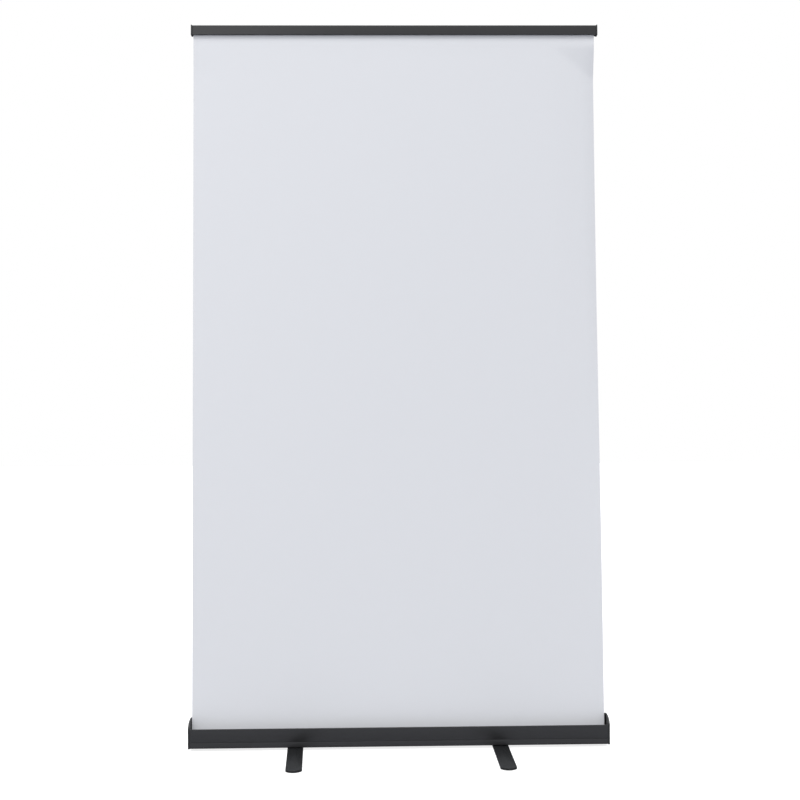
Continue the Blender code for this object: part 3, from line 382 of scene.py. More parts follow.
def apply_modifier(piece, kind, **settings):
    """Add a modifier with its settings and apply it."""
    select_only(piece)
    bpy.ops.object.modifier_add(type=kind)
    modifier = piece.modifiers[-1]
    for name, value in settings.items():
        setattr(modifier, name, value)
    bpy.ops.object.modifier_apply(modifier=modifier.name)


def smooth(piece):
    """Shade a piece smooth between its sharp edges."""
    select_only(piece)
    bpy.ops.object.shade_smooth_by_angle(angle=math.radians(SHARP))


def round_edges(piece, width, segments=3):
    """Bevel the sharp edges and shade the rest smooth."""
    apply_modifier(piece, "BEVEL", width=width, segments=segments, limit_method="ANGLE",
                   angle_limit=math.radians(SHARP))
    smooth(piece)


def cut(piece, *tools):
    """Cut a piece with others that lie apart, which are then removed."""
    select_only(tools[0])
    for tool in tools:
        tool.select_set(True)
    if len(tools) > 1:
        bpy.ops.object.join()
    tool = bpy.context.object
    apply_modifier(piece, "BOOLEAN", operation="DIFFERENCE", object=tool, solver="EXACT")
    bpy.data.objects.remove(tool, do_unlink=True)
    edit(piece)
    bpy.ops.mesh.remove_doubles(threshold=WELD)
    bpy.ops.object.mode_set(mode="OBJECT")


def unite(piece, part):
    """Join a part that overlaps a piece onto it, as one closed surface."""
    apply_modifier(piece, "BOOLEAN", operation="UNION", object=part, solver="EXACT")
    bpy.data.objects.remove(part, do_unlink=True)


def cylinder(name, radius, low, high, sides=48, turn=(0, 0, 0)):
    """A round bar between two points, the start of tubes, screws and cutting tools."""
    low, high = Vector(low), Vector(high)
    piece = add_piece(name, bpy.ops.mesh.primitive_cylinder_add, vertices=sides, radius=radius,
                      depth=(high - low).length, location=(low + high) / 2, rotation=turn)
    settle(piece)
    return piece


ALONG_X = (0, math.radians(90), 0)
ALONG_Y = (math.radians(-90), 0, 0)


def place_piece(piece, body, slot, *replaced):
    """Put a finished piece on its body, in its finish, in place of the nodes that it stands for."""
    settle(piece)
    if not piece.data.materials:
        piece.data.materials.append(finish(slot))
    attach(piece, body)
    if replaced:
        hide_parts(*replaced)
    return piece


def arc(centre, radii, start, end, steps):
    """Points of an elliptic arc, in degrees from the first axis towards the second."""
    angles = [math.radians(start + (end - start) * step / steps) for step in range(steps + 1)]
    return [(centre[0] + radii[0] * math.cos(a), centre[1] + radii[1] * math.sin(a)) for a in angles]


def extruded(name, corners, step):
    """Draw an outline from corner to corner, fill it and extrude it by a step."""
    piece = add_piece(name, bpy.ops.mesh.primitive_plane_add, size=MM, location=corners[0])
    edit(piece)
    bpy.ops.mesh.merge(type="CENTER")
    for here, there in zip(corners, corners[1:]):
        extrude(*(there - here))
    bpy.ops.mesh.select_all(action="SELECT")
    bpy.ops.mesh.edge_face_add()
    extrude(*step)
    bpy.ops.mesh.select_all(action="SELECT")
    bpy.ops.mesh.normals_make_consistent(inside=False)
    settle(piece)
    return piece


def extruded_outline(name, outline, start, end):
    """Extrude a (y, z) outline along the cassette."""
    return extruded(name, [Vector((start, y, z)) for y, z in outline], (end - start, 0, 0))


# ---------------------------------------------------------------- banner
def smooth_step(share):
    """0 below 0, 1 above 1, and a soft rise between."""
    share = min(max(share, 0.0), 1.0)
    return share * share * (3 - 2 * share)


FOLD_FOOT = 4 * MM  # height of the fold where it runs out into the flat film
LEAN_START = 0.15  # share of the sheet's height at which the right edge begins to lean back
LEAN_RISE = 0.55  # share of the height over which that lean grows to its full depth
FLAT_FOOT = 0.12  # share of the height that the cassette's mouth holds flat
WAVE_PITCH = 3.8  # radians of the long wave for each metre across the sheet
WAVE_START = 1.1  # radians of the wave at the middle of the stand
LEAN_CURVE = 1.3  # above 1, the leaning strip is curved and meets the flat film softly
FILM_GRID = (120, 240)  # faces across and up the film


def film_relief(x, up, sizes):
    """How far the hung film stands behind its flat plane, at a place x and a share of its height.

    The rail holds it flat. Below the rail its right edge leans back over a slanting fold, and the
    lean dies out towards the cassette.
    """
    below_top = (SHEET_HIGH.z - SHEET_LOW.z) * (1 - up)
    left = max(1 - (x - SHEET_LOW.x) / sizes.curl_width, 0.0)
    right = max(1 - (SHEET_HIGH.x - x) / sizes.curl_width, 0.0)
    roll = max(1 - (SHEET_HIGH.x - x) / sizes.roll_width, 0.0)
    fold = (below_top - sizes.fold_top) / (sizes.fold_length * right + FOLD_FOOT)
    lean = min(max(fold, 0.0), 1.0) * smooth_step((up - LEAN_START) / LEAN_RISE)
    wave = sizes.wave * math.sin(WAVE_PITCH * x + WAVE_START) * math.sin(2.0 * math.pi * up)
    free = smooth_step(up / FLAT_FOOT) * smooth_step((below_top - sizes.fold_top) / sizes.fold_length)
    back = sizes.right_curl * right ** LEAN_CURVE + sizes.edge_roll * roll ** 2
    return free * (sizes.left_curl * left ** 2 + wave) + lean * back


class BANNERSTAND_OT_film(bpy.types.Operator):
    """Hang the banner film between the roller and the clamp rail"""
    bl_idname = "bannerstand.film"
    bl_label = "Banner Film"

    def execute(self, context):
        sizes = context.scene.banner_stand_sizes
        width = SHEET_HIGH.x - SHEET_LOW.x
        length = SHEET_HIGH.z - SHEET_LOW.z
        film = add_piece("banner_film_hung", bpy.ops.mesh.primitive_grid_add, size=1.0,
                         x_subdivisions=FILM_GRID[0], y_subdivisions=FILM_GRID[1],
                         location=SHEET_MIDDLE, rotation=(math.radians(90), 0, 0),
                         scale=(width, length, 1))
        settle(film)
        for point in film.data.vertices:
            point.co.y += film_relief(point.co.x, (point.co.z - SHEET_LOW.z) / length, sizes)
        film.data.materials.append(finish("banner_film"))
        film.data.materials.append(finish("film_back"))
        apply_modifier(film, "SOLIDIFY", thickness=sizes.film_thickness, offset=0.0, material_offset=1)
        smooth(film)
        place_piece(film, "base", "banner_film", "banner_sheet")
        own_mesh(film)
        return {"FINISHED"}


# ---------------------------------------------------------------- cassette
LIP_BEAD_HEIGHT = 5 * MM
ROOF_HOLE_GAP = 1.5 * MM  # round the lower tube where it goes down into the cassette
PIVOT_HOLE_RADIUS = 3.3 * MM
EXTRUDED_EDGE = 0.25 * MM


def cassette_outline(sizes):
    """The extrusion's outline: lip, leaning front with its groove, floor, rear wall and curved shell."""
    front, bottom = PROFILE_LOW.y, PROFILE_LOW.z
    rear, crest = PROFILE_HIGH.y, PROFILE_HIGH.z
    lip = bottom + sizes.lip_height
    bead_foot = lip - LIP_BEAD_HEIGHT
    shoulder = bottom + sizes.shoulder_height
    shell = (front + sizes.slot_depth, shoulder)
    radii = (rear - shell[0], crest - shoulder)
    inner_radii = (radii[0] - sizes.wall, radii[1] - sizes.wall)
    bead = sizes.lip_wall / 2
    groove_low = bottom + sizes.groove_height - sizes.groove_width / 2
    groove_high = groove_low + sizes.groove_width

    def face(height):
        return front + sizes.toe_setback * (1 - (height - bottom) / sizes.lip_height)

    toe = (face(bottom) + sizes.corner, bottom + sizes.corner)
    heel = (rear - sizes.corner, bottom + sizes.corner)
    inner_front = face(bottom + sizes.lip_height / 2) + sizes.wall
    points = arc((front + bead, lip - bead), (bead, bead), 0, 180, 12)
    points += [(face(groove_high), groove_high), (face(groove_high) + sizes.groove_depth, groove_high)]
    points += [(face(groove_low) + sizes.groove_depth, groove_low), (face(groove_low), groove_low)]
    points += arc(toe, (sizes.corner, sizes.corner), 180, 270, 8)
    points += arc(heel, (sizes.corner, sizes.corner), 270, 360, 8)
    points += arc(shell, radii, 0, 90, 28)
    points += arc(shell, inner_radii, 90, 0, 28)
    points += [(rear - sizes.wall, bottom + sizes.wall), (inner_front + sizes.wall / 2, bottom + sizes.wall)]
    points += [(inner_front, bead_foot - bead), (front + sizes.lip_wall, bead_foot)]
    return points


class BANNERSTAND_OT_cassette(bpy.types.Operator):
    """Extrude the cassette that holds the roller, with the holes for the pole and the pivots"""
    bl_idname = "bannerstand.cassette"
    bl_label = "Cassette"

    def execute(self, context):
        sizes = context.scene.banner_stand_sizes
        shell = extruded_outline("cassette_shell", cassette_outline(sizes), PROFILE_LOW.x, PROFILE_HIGH.x)
        roof_radius = LOWER_TUBE_RADIUS + ROOF_HOLE_GAP
        above = (POLE_AXIS.x, POLE_AXIS.y, PROFILE_HIGH.z + sizes.wall)
        below = (POLE_AXIS.x, POLE_AXIS.y, PROFILE_LOW.z + sizes.lip_height)
        tools = [cylinder("roof_hole", roof_radius, below, above)]
        for side in ("left", "right"):
            low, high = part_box(f"{side}_pivot_screw")
            middle = (low + high) / 2
            bottom = (middle.x, middle.y, PROFILE_LOW.z - sizes.wall)
            top = (middle.x, middle.y, PROFILE_LOW.z + 2 * sizes.wall)
            tools.append(cylinder("pivot_hole", PIVOT_HOLE_RADIUS, bottom, top, sides=24))
        cut(shell, *tools)
        round_edges(shell, EXTRUDED_EDGE, segments=2)
        place_piece(shell, "base", "black_anodised", "base_profile")
        return {"FINISHED"}


CAP_GAP = 0.3 * MM  # between an end cap and the profile's cut end
AXLE_BOSS_RADIUS = 5 * MM
AXLE_BOSS_LENGTH = 6 * MM
AXLE_HOLE_RADIUS = 3.3 * MM
CAP_SCREW_BORE = 2.3 * MM
CAP_SCREW_SEAT = 3.8 * MM
CAP_SCREW_SINK = 2.8 * MM  # depth of the seat that the screw's head lies in


def cap_outline(sizes, margin=0.0):
    """Side view of an end cap, or of a panel within it: closed over the mouth by a quarter ellipse."""
    front, bottom = CAP_LOW.y + margin, CAP_LOW.z + margin
    rear, top = CAP_HIGH.y - margin, CAP_HIGH.z - margin
    toe = front + sizes.toe_setback
    brow = PROFILE_LOW.z + sizes.lip_height - sizes.corner / 2
    crown = PROFILE_LOW.y + sizes.slot_depth
    shoulder = PROFILE_LOW.z + sizes.shoulder_height
    corner = (sizes.corner, sizes.corner)
    points = arc((crown, brow), (crown - front, top - brow), 90, 180, 24)
    points += arc((toe + sizes.corner, bottom + sizes.corner), corner, 180, 270, 8)
    points += arc((rear - sizes.corner, bottom + sizes.corner), corner, 270, 360, 8)
    points += arc((crown, shoulder), (rear - crown, top - shoulder), 0, 90, 24)[:-1]
    return points


class BANNERSTAND_OT_end_caps(bpy.types.Operator):
    """Mould the two end caps, each with a sunk panel and countersinks for its screws"""
    bl_idname = "bannerstand.end_caps"
    bl_label = "End Caps"

    def execute(self, context):
        sizes = context.scene.banner_stand_sizes
        for side, sign in (("left", -1), ("right", 1)):
            low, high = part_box(f"{side}_end_cap")
            outer = high.x if sign > 0 else low.x
            inner = sign * PROFILE_HIGH.x + sign * CAP_GAP
            cap = extruded_outline(f"cassette_{side}_cap", cap_outline(sizes), inner, outer)
            panel = extruded_outline("sunk_panel", cap_outline(sizes, sizes.panel_margin),
                                     outer - sign * sizes.panel_depth, outer + sign * MM)
            cut(cap, panel)
            roller = (ROLLER_LOW + ROLLER_HIGH) / 2
            boss_tip = inner - sign * AXLE_BOSS_LENGTH
            boss = cylinder("boss", AXLE_BOSS_RADIUS, (boss_tip, roller.y, roller.z),
                            (inner + sign * MM, roller.y, roller.z), sides=32, turn=ALONG_X)
            unite(cap, boss)
            tools = [cylinder("axle_hole", AXLE_HOLE_RADIUS, (boss_tip - sign * 2 * MM, roller.y, roller.z),
                              (inner + sign * 2 * MM, roller.y, roller.z), sides=32, turn=ALONG_X)]
            for end in ("front", "rear"):
                tools.append(self.screw_seat(side, end, sign, inner, outer))
            cut(cap, *tools)
            round_edges(cap, sizes.edge)
            place_piece(cap, "base", "black_plastic", f"{side}_end_cap")
        return {"FINISHED"}

    def screw_seat(self, side, end, sign, inner, outer):
        """The stepped hole of a cap screw: a bore through the wall and a wider seat for its head."""
        low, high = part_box(f"{side}_cap_screw_{end}")
        middle = (low + high) / 2
        floor = Vector((outer - sign * CAP_SCREW_SINK, middle.y, middle.z))
        outside = Vector((outer + sign * 2 * MM, middle.y, middle.z))
        inside = Vector((inner - sign * 2 * MM, middle.y, middle.z))
        bore_end = floor + (outside - floor) / 2
        bore = cylinder("screw_bore", CAP_SCREW_BORE, inside, bore_end, sides=24, turn=ALONG_X)
        seat = cylinder("screw_seat", CAP_SCREW_SEAT, floor, outside, sides=32, turn=ALONG_X)
        unite(seat, bore)
        return seat


# ---------------------------------------------------------------- feet
PAD_INSET = 18 * MM  # pad's middle to the foot's tip
SINK_RADIUS = 8.1 * MM  # mouth of the countersink under each foot
SINK_DEPTH = 4.8 * MM
SINK_MIDDLE = 0.9 * MM  # middle of the countersink's cone above the underside
SINK_FOOT = 3.2 * MM  # where the straight pivot hole starts above the underside
STUD_HOLE_RADIUS = 2.8 * MM
STUD_GAP = 0.3 * MM
STUD_RADIUS = 2.5 * MM
PAD_DISC = 1.2 * MM  # thickness of the pad below the foot
PAD_RIDGE = 1.2 * MM  # flat outside each of the pad's two round grooves
GROOVE_FLOOR = 1.0 * MM
GROOVE_SLOPE = 0.3 * MM
GROOVE_SINK = 0.4 * MM
PAD_EDGE = 0.15 * MM


def foot_outline(half_length, sizes):
    """Seen from above: straight sides and bowed ends, which meet in small round corners."""
    corner_x = sizes.foot_width / 2 - sizes.foot_corner
    bow_y = half_length - sizes.foot_end
    reach = math.sqrt((sizes.foot_end - sizes.foot_corner) ** 2 - corner_x ** 2)
    meets = math.degrees(math.atan2(reach, corner_x))
    corner = (sizes.foot_corner, sizes.foot_corner)
    bow = (sizes.foot_end, sizes.foot_end)
    points = []
    for sign, start in ((1, 0), (-1, 180)):
        first = (sign * corner_x, sign * (bow_y + reach))
        last = (-sign * corner_x, sign * (bow_y + reach))
        points += arc(first, corner, start, start + meets, 6)
        points += arc((0, sign * bow_y), bow, start + meets, start + 180 - meets, 24)[1:-1]
        points += arc(last, corner, start + 180 - meets, start + 180, 6)
    return points


class BANNERSTAND_OT_feet(bpy.types.Operator):
    """Cut the two flat swivel feet, with bowed ends, and mould their grooved rubber pads"""
    bl_idname = "bannerstand.feet"
    bl_label = "Feet"

    def execute(self, context):
        sizes = context.scene.banner_stand_sizes
        for side in ("left", "right"):
            pivot = Vector(JOINTS[f"{side}_foot_swing"]["pos_m"])
            foot = self.make_foot(side, pivot, sizes)
            place_piece(foot, f"{side}_foot", "black_steel", f"{side}_foot")
            for end in ("front", "rear"):
                self.make_pad(side, end)
        return {"FINISHED"}

    def make_foot(self, side, pivot, sizes):
        """A flat bar through both pads' middles, countersunk for its pivot and drilled for the pads."""
        low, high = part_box(f"{side}_foot")
        front_low, front_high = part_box(f"{side}_front_pad")
        rear_low, rear_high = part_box(f"{side}_rear_pad")
        along = (rear_low + rear_high) / 2 - (front_low + front_high) / 2
        turned = Matrix.Rotation(-math.atan2(along.x, along.y), 4, "Z")
        half_length = along.xy.length / 2 + PAD_INSET
        corners = [Vector((pivot.x, pivot.y, low.z)) + turned @ Vector((x, y, 0))
                   for x, y in foot_outline(half_length, sizes)]
        foot = extruded(f"{side}_swivel_foot", corners, (0, 0, high.z - low.z))
        sink = add_piece("countersink", bpy.ops.mesh.primitive_cone_add, vertices=32, radius1=SINK_RADIUS,
                         radius2=PIVOT_HOLE_RADIUS, depth=SINK_DEPTH,
                         location=(pivot.x, pivot.y, low.z + SINK_MIDDLE))
        settle(sink)
        hole = cylinder("pivot_hole", PIVOT_HOLE_RADIUS, (pivot.x, pivot.y, low.z + SINK_FOOT),
                        (pivot.x, pivot.y, high.z + MM), sides=32)
        unite(sink, hole)
        tools = [sink]
        for pad_low, pad_high in ((front_low, front_high), (rear_low, rear_high)):
            middle = (pad_low + pad_high) / 2
            tools.append(cylinder("stud_hole", STUD_HOLE_RADIUS, (middle.x, middle.y, low.z - MM),
                                  (middle.x, middle.y, pad_high.z + STUD_GAP), sides=24))
        cut(foot, *tools)
        round_edges(foot, sizes.foot_edge)
        return foot

    def make_pad(self, side, end):
        """A round pad with two round grooves below and a stud up into the foot."""
        low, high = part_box(f"{side}_{end}_pad")
        middle = (low + high) / 2
        radius = (high.x - low.x) / 2
        pad = cylinder(f"{side}_{end}_rubber_pad", radius, (middle.x, middle.y, low.z),
                       (middle.x, middle.y, low.z + PAD_DISC), sides=40)
        edit(pad)
        pick_faces(pad, lambda centre, normal: normal.z < -0.9)
        for _ in range(2):
            bpy.ops.mesh.inset(thickness=PAD_RIDGE, depth=0.0)
            bpy.ops.mesh.inset(thickness=GROOVE_SLOPE, depth=-GROOVE_SINK)
            bpy.ops.mesh.inset(thickness=GROOVE_FLOOR, depth=0.0)
            bpy.ops.mesh.inset(thickness=GROOVE_SLOPE, depth=GROOVE_SINK)
        pick_faces(pad, lambda centre, normal: normal.z > 0.9)
        bpy.ops.mesh.inset(thickness=radius - STUD_RADIUS, depth=0.0)
        extrude(0, 0, high.z - low.z - PAD_DISC)
        settle(pad)
        round_edges(pad, PAD_EDGE, segments=2)
        place_piece(pad, f"{side}_foot", "black_rubber", f"{side}_{end}_pad")


# ---------------------------------------------------------------- pole
TUBE_WALL = 1.0 * MM
TUBE_RIM = 0.2 * MM
COLLAR_BAND = 5 * MM  # plain band above and below the collar's ribs
COLLAR_TOP = 3 * MM  # thickness of the collar's inward rim


def drawn_tube(name, low, high, bore):
    """A tube with a real wall and rounded rims, standing between two box corners."""
    radius = (high.x - low.x) / 2
    middle = (low + high) / 2
    tube = add_piece(name, bpy.ops.mesh.primitive_cylinder_add, vertices=72, radius=radius,
                     depth=high.z - low.z, end_fill_type="NOTHING", location=middle)
    settle(tube)
    apply_modifier(tube, "SOLIDIFY", thickness=radius - bore, offset=-1.0)
    round_edges(tube, TUBE_RIM, segments=2)
    return tube


class BANNERSTAND_OT_pole(bpy.types.Operator):
    """Draw the two telescopic tubes of the pole behind the banner"""
    bl_idname = "bannerstand.pole"
    bl_label = "Pole Tubes"

    def execute(self, context):
        lower = drawn_tube("pole_tube_lower", LOWER_TUBE_LOW, LOWER_TUBE_HIGH, LOWER_TUBE_RADIUS - TUBE_WALL)
        place_piece(lower, "base", "mill_aluminium", "pole_lower_tube")
        upper = drawn_tube("pole_tube_upper", UPPER_TUBE_LOW, UPPER_TUBE_HIGH, UPPER_TUBE_RADIUS - TUBE_WALL)
        place_piece(upper, "upper_pole", "mill_aluminium", "pole_upper_tube")
        return {"FINISHED"}


class BANNERSTAND_OT_lock_collar(bpy.types.Operator):
    """Mould the ribbed collar that is twisted to lock the pole"""
    bl_idname = "bannerstand.lock_collar"
    bl_label = "Lock Collar"

    ribs: IntProperty(name="Ribs", description="Number of grip ribs round the collar", default=18, min=8)

    def execute(self, context):
        sizes = context.scene.banner_stand_sizes
        centre = Vector((POLE_AXIS.x, POLE_AXIS.y, 0))
        outer = (COLLAR_HIGH.x - COLLAR_LOW.x) / 2 - sizes.rib_height
        bore = (COLLET_HIGH.x - COLLET_LOW.x) / 2 + sizes.collar_bore_gap
        neck = UPPER_TUBE_RADIUS + sizes.collar_bore_gap
        height = COLLAR_HIGH.z - COLLAR_LOW.z
        collar = cylinder("twist_lock_collar", outer, centre + Vector((0, 0, COLLAR_LOW.z)),
                          centre + Vector((0, 0, COLLAR_LOW.z + COLLAR_BAND)), sides=4 * self.ribs)
        edit(collar)
        pick_faces(collar, lambda middle, normal: normal.z > 0.9)
        extrude(0, 0, height - 2 * COLLAR_BAND)
        extrude(0, 0, COLLAR_BAND)
        self.raise_ribs(collar, centre, sizes.rib_height)
        self.open_bore(collar, bore, neck, outer)
        settle(collar)
        round_edges(collar, EXTRUDED_EDGE, segments=2)
        place_piece(collar, "lock_collar", "black_plastic", "lock_collar")
        return {"FINISHED"}

    def raise_ribs(self, collar, centre, rib_height):
        """Raise every other pair of faces between the collar's two plain bands."""
        step = 2 * math.pi / (2 * self.ribs)

        def on_rib(middle, normal):
            between = COLLAR_LOW.z + COLLAR_BAND < middle.z < COLLAR_HIGH.z - COLLAR_BAND
            angle = math.atan2(middle.y - centre.y, middle.x - centre.x) % (2 * math.pi)
            return between and abs(normal.z) < 0.1 and int(angle / step) % 2 == 0

        pick_faces(collar, on_rib)
        bpy.ops.mesh.extrude_region_shrink_fatten(TRANSFORM_OT_shrink_fatten={"value": rib_height})

    def open_bore(self, collar, bore, neck, outer):
        """Hollow the collar for the collet, and open its top for the upper tube."""
        pick_faces(collar, lambda middle, normal: normal.z > 0.9 and middle.z > COLLAR_HIGH.z - 0.1 * MM)
        bpy.ops.mesh.inset(thickness=outer - neck, depth=0.0)
        bpy.ops.mesh.delete(type="FACE")
        pick_faces(collar, lambda middle, normal: normal.z < -0.9 and middle.z < COLLAR_LOW.z + 0.1 * MM)
        bpy.ops.mesh.inset(thickness=outer - bore, depth=0.0)
        extrude(0, 0, COLLAR_HIGH.z - COLLAR_LOW.z - COLLAR_TOP)
        bpy.ops.mesh.inset(thickness=bore - neck, depth=0.0)
        bpy.ops.mesh.delete(type="FACE")
        bpy.ops.mesh.select_mode(type="EDGE")
        bpy.ops.mesh.select_all(action="DESELECT")
        bpy.ops.mesh.select_non_manifold(extend=False)
        bpy.ops.mesh.bridge_edge_loops()
        bpy.ops.mesh.select_all(action="SELECT")
        bpy.ops.mesh.normals_make_consistent(inside=False)


HOOK_SEAT = 0.3 * MM  # the hook's arm over the upper tube's end
HOOK_ARM = 10 * MM
HOOK_TONGUE = 3.2 * MM
HOOK_CORNER = 7 * MM
SPIGOT_GAP = 1.3 * MM  # the spigot in the upper tube, with the tube's wall


class BANNERSTAND_OT_hook(bpy.types.Operator):
    """Mould the hook on the pole that carries the clamp rail"""
    bl_idname = "bannerstand.hook"
    bl_label = "Pole Hook"

    def execute(self, context):
        sizes = context.scene.banner_stand_sizes
        arm_bottom = UPPER_TUBE_HIGH.z + HOOK_SEAT
        arm_top = arm_bottom + HOOK_ARM
        tongue_rear = HOOK_LOW.y + HOOK_TONGUE
        middle = Vector((0, (HOOK_LOW.y + HOOK_HIGH.y) / 2, (arm_bottom + arm_top) / 2))
        hook = add_piece("pole_hook_moulded", bpy.ops.mesh.primitive_cube_add, size=1.0, location=middle,
                         scale=(HOOK_HIGH.x - HOOK_LOW.x, HOOK_HIGH.y - HOOK_LOW.y, arm_top - arm_bottom))
        settle(hook)
        edit(hook)
        bpy.ops.mesh.bisect(plane_co=(0, tongue_rear, 0), plane_no=(0, 1, 0))
        pick_faces(hook, lambda centre, normal: normal.z > 0.9 and centre.y < tongue_rear)
        extrude(0, 0, HOOK_HIGH.z - arm_top)
        settle(hook)
        self.round_back(hook)
        spigot = cylinder("spigot", UPPER_TUBE_RADIUS - SPIGOT_GAP, (0, POLE_AXIS.y, HOOK_LOW.z),
                          (0, POLE_AXIS.y, (arm_bottom + arm_top) / 2), sides=40)
        unite(hook, spigot)
        round_edges(hook, sizes.edge)
        place_piece(hook, "upper_pole", "black_plastic", "pole_top_hook")
        return {"FINISHED"}

    def round_back(self, hook):
        """Round the arm's two rear corners to follow the tube."""
        edit(hook)
        bpy.ops.mesh.select_mode(type="EDGE")
        bpy.ops.mesh.select_all(action="DESELECT")
        mesh = bmesh.from_edit_mesh(hook.data)
        for edge in mesh.edges:
            ends = [vert.co for vert in edge.verts]
            upright = abs(ends[0].z - ends[1].z) > 0.9 * HOOK_ARM
            edge.select_set(upright and min(end.y for end in ends) > HOOK_HIGH.y - 0.1 * MM)
        bmesh.update_edit_mesh(hook.data)
        bpy.ops.mesh.bevel(offset=HOOK_CORNER, segments=8, affect="EDGES")
        settle(hook)


# ---------------------------------------------------------------- clamp rail
RAIL_WALL = 1.6 * MM
RAIL_WEB = 15 * MM  # underside to the web that joins the rear plate to the leg
RAIL_EDGE = 0.15 * MM
FILM_GAP = 0.3 * MM
LEG_FRONT = SHEET_MIDDLE.y + (SHEET_HIGH.y - SHEET_LOW.y) / 2 + FILM_GAP
LEG_REAR = LEG_FRONT + 1.3 * MM
BEAD_RADIUS = 1.4 * MM
JAW_WALL = 1.3 * MM
JAW_CUP_RADIUS = 1.7 * MM  # inside of the cup that turns on the bead
JAW_CORNER = 1.5 * MM
JAW_FLANGE = 8 * MM  # height of the flange that holds the grip strip
RAIL_CAP_WALL = 3 * MM
PLUG_GAP = 0.3 * MM  # round the plug of a rail cap
PLUG_DEPTH = 3.2 * MM
PLUG_LENGTH = 12 * MM


def rail_back_outline():
    """The fixed half: rear plate, top plate with the hinge bead, web and the leg that is pressed on."""
    rear, front_of_back = RAIL_HIGH.y, RAIL_HIGH.y - RAIL_WALL
    top, bottom = RAIL_HIGH.z, RAIL_LOW.z
    under_top = top - RAIL_WALL
    web_bottom = bottom + RAIL_WEB
    web_top = web_bottom + RAIL_WALL
    hinge = JOINTS["jaw_open"]["pos_m"][1:]
    neck = hinge[0] + BEAD_RADIUS
    points = [(rear, bottom), (rear, top), (neck, top)]
    points += arc(hinge, (BEAD_RADIUS, BEAD_RADIUS), 60, 360, 24)
    points += [(neck + RAIL_WALL / 2, under_top), (front_of_back, under_top), (front_of_back, web_top)]
    points += [(LEG_FRONT, web_top), (LEG_FRONT, bottom), (LEG_REAR, bottom)]
    points += [(LEG_REAR, web_bottom), (front_of_back, web_bottom), (front_of_back, bottom)]
    return points


def rail_jaw_outline():
    """The front half: a cup round the hinge bead, a flat front and a lip with a flange."""
    hinge = JOINTS["jaw_open"]["pos_m"][1:]
    bottom, front = JAW_LOW.z, JAW_LOW.y
    lip_top = bottom + JAW_WALL
    flange_top = bottom + JAW_FLANGE
    flange_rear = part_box("jaw_grip_strip")[0].y - FILM_GAP
    flange_front = flange_rear - JAW_WALL
    inner = (JAW_CUP_RADIUS, JAW_CUP_RADIUS)
    outer = (JAW_CUP_RADIUS + JAW_WALL, JAW_CUP_RADIUS + JAW_WALL)
    points = arc(hinge, outer, 125, 180, 12)
    points += arc((front + JAW_CORNER, bottom + JAW_CORNER), (JAW_CORNER, JAW_CORNER), 180, 270, 6)
    points += [(flange_rear, bottom), (flange_rear, flange_top), (flange_front, flange_top)]
    points += [(flange_front, lip_top), (front + JAW_WALL, lip_top)]
    points += arc(hinge, outer, 235, 310, 12)
    points += arc(hinge, inner, 310, 125, 24)
    return points


class BANNERSTAND_OT_rail(bpy.types.Operator):
    """Extrude the two halves of the clamp rail and mould its end caps"""
    bl_idname = "bannerstand.rail"
    bl_label = "Clamp Rail"

    def execute(self, context):
        sizes = context.scene.banner_stand_sizes
        back = extruded_outline("clamp_rail_back", rail_back_outline(), RAIL_LOW.x, RAIL_HIGH.x)
        round_edges(back, RAIL_EDGE, segments=2)
        place_piece(back, "rail", "black_anodised", "rail_back_profile")
        jaw = extruded_outline("clamp_rail_jaw", rail_jaw_outline(), JAW_LOW.x, JAW_HIGH.x)
        round_edges(jaw, RAIL_EDGE, segments=2)
        place_piece(jaw, "jaw", "black_anodised", "rail_front_jaw")
        for side, sign in (("left", -1), ("right", 1)):
            self.make_cap(side, sign, sizes)
        return {"FINISHED"}

    def make_cap(self, side, sign, sizes):
        """A round-cornered plate over the rail's end, with a plug between its web and its top."""
        low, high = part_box(f"rail_{side}_cap")
        outer = high.x if sign > 0 else low.x
        inner = outer - sign * RAIL_CAP_WALL
        corner = sizes.corner
        rear, front = high.y - corner, low.y + corner
        upper, lower = high.z - corner, low.z + corner
        outline = []
        for y, z, start in ((rear, upper, 0), (front, upper, 90), (front, lower, 180), (rear, lower, 270)):
            outline += arc((y, z), (corner, corner), start, start + 90, 8)
        cap = extruded_outline(f"clamp_rail_{side}_cap", outline, inner, outer)
        plug_front = LEG_REAR + PLUG_GAP
        plug_rear = plug_front + PLUG_DEPTH
        plug_low = RAIL_LOW.z + RAIL_WEB + RAIL_WALL + PLUG_GAP
        plug_high = RAIL_HIGH.z - RAIL_WALL - PLUG_GAP
        root = inner + sign * RAIL_CAP_WALL / 2
        tip = inner - sign * PLUG_LENGTH
        centre = ((root + tip) / 2, (plug_front + plug_rear) / 2, (plug_low + plug_high) / 2)
        plug = add_piece("plug", bpy.ops.mesh.primitive_cube_add, size=1.0, location=centre,
                         scale=(abs(root - tip), plug_rear - plug_front, plug_high - plug_low))
        settle(plug)
        unite(cap, plug)
        round_edges(cap, sizes.edge)
        place_piece(cap, "rail", "black_plastic", f"rail_{side}_cap")


# ---------------------------------------------------------------- fasteners and inner parts
# A pan-head screw's proportions, as shares of its head's radius
HEAD_HEIGHT = 0.62
HEAD_ROUNDING = 0.12
SHANK_RADIUS = 0.57
RECESS_REACH = 1.15
RECESS_WIDTH = 0.24
RECESS_DEPTH = 0.8  # of the head's height


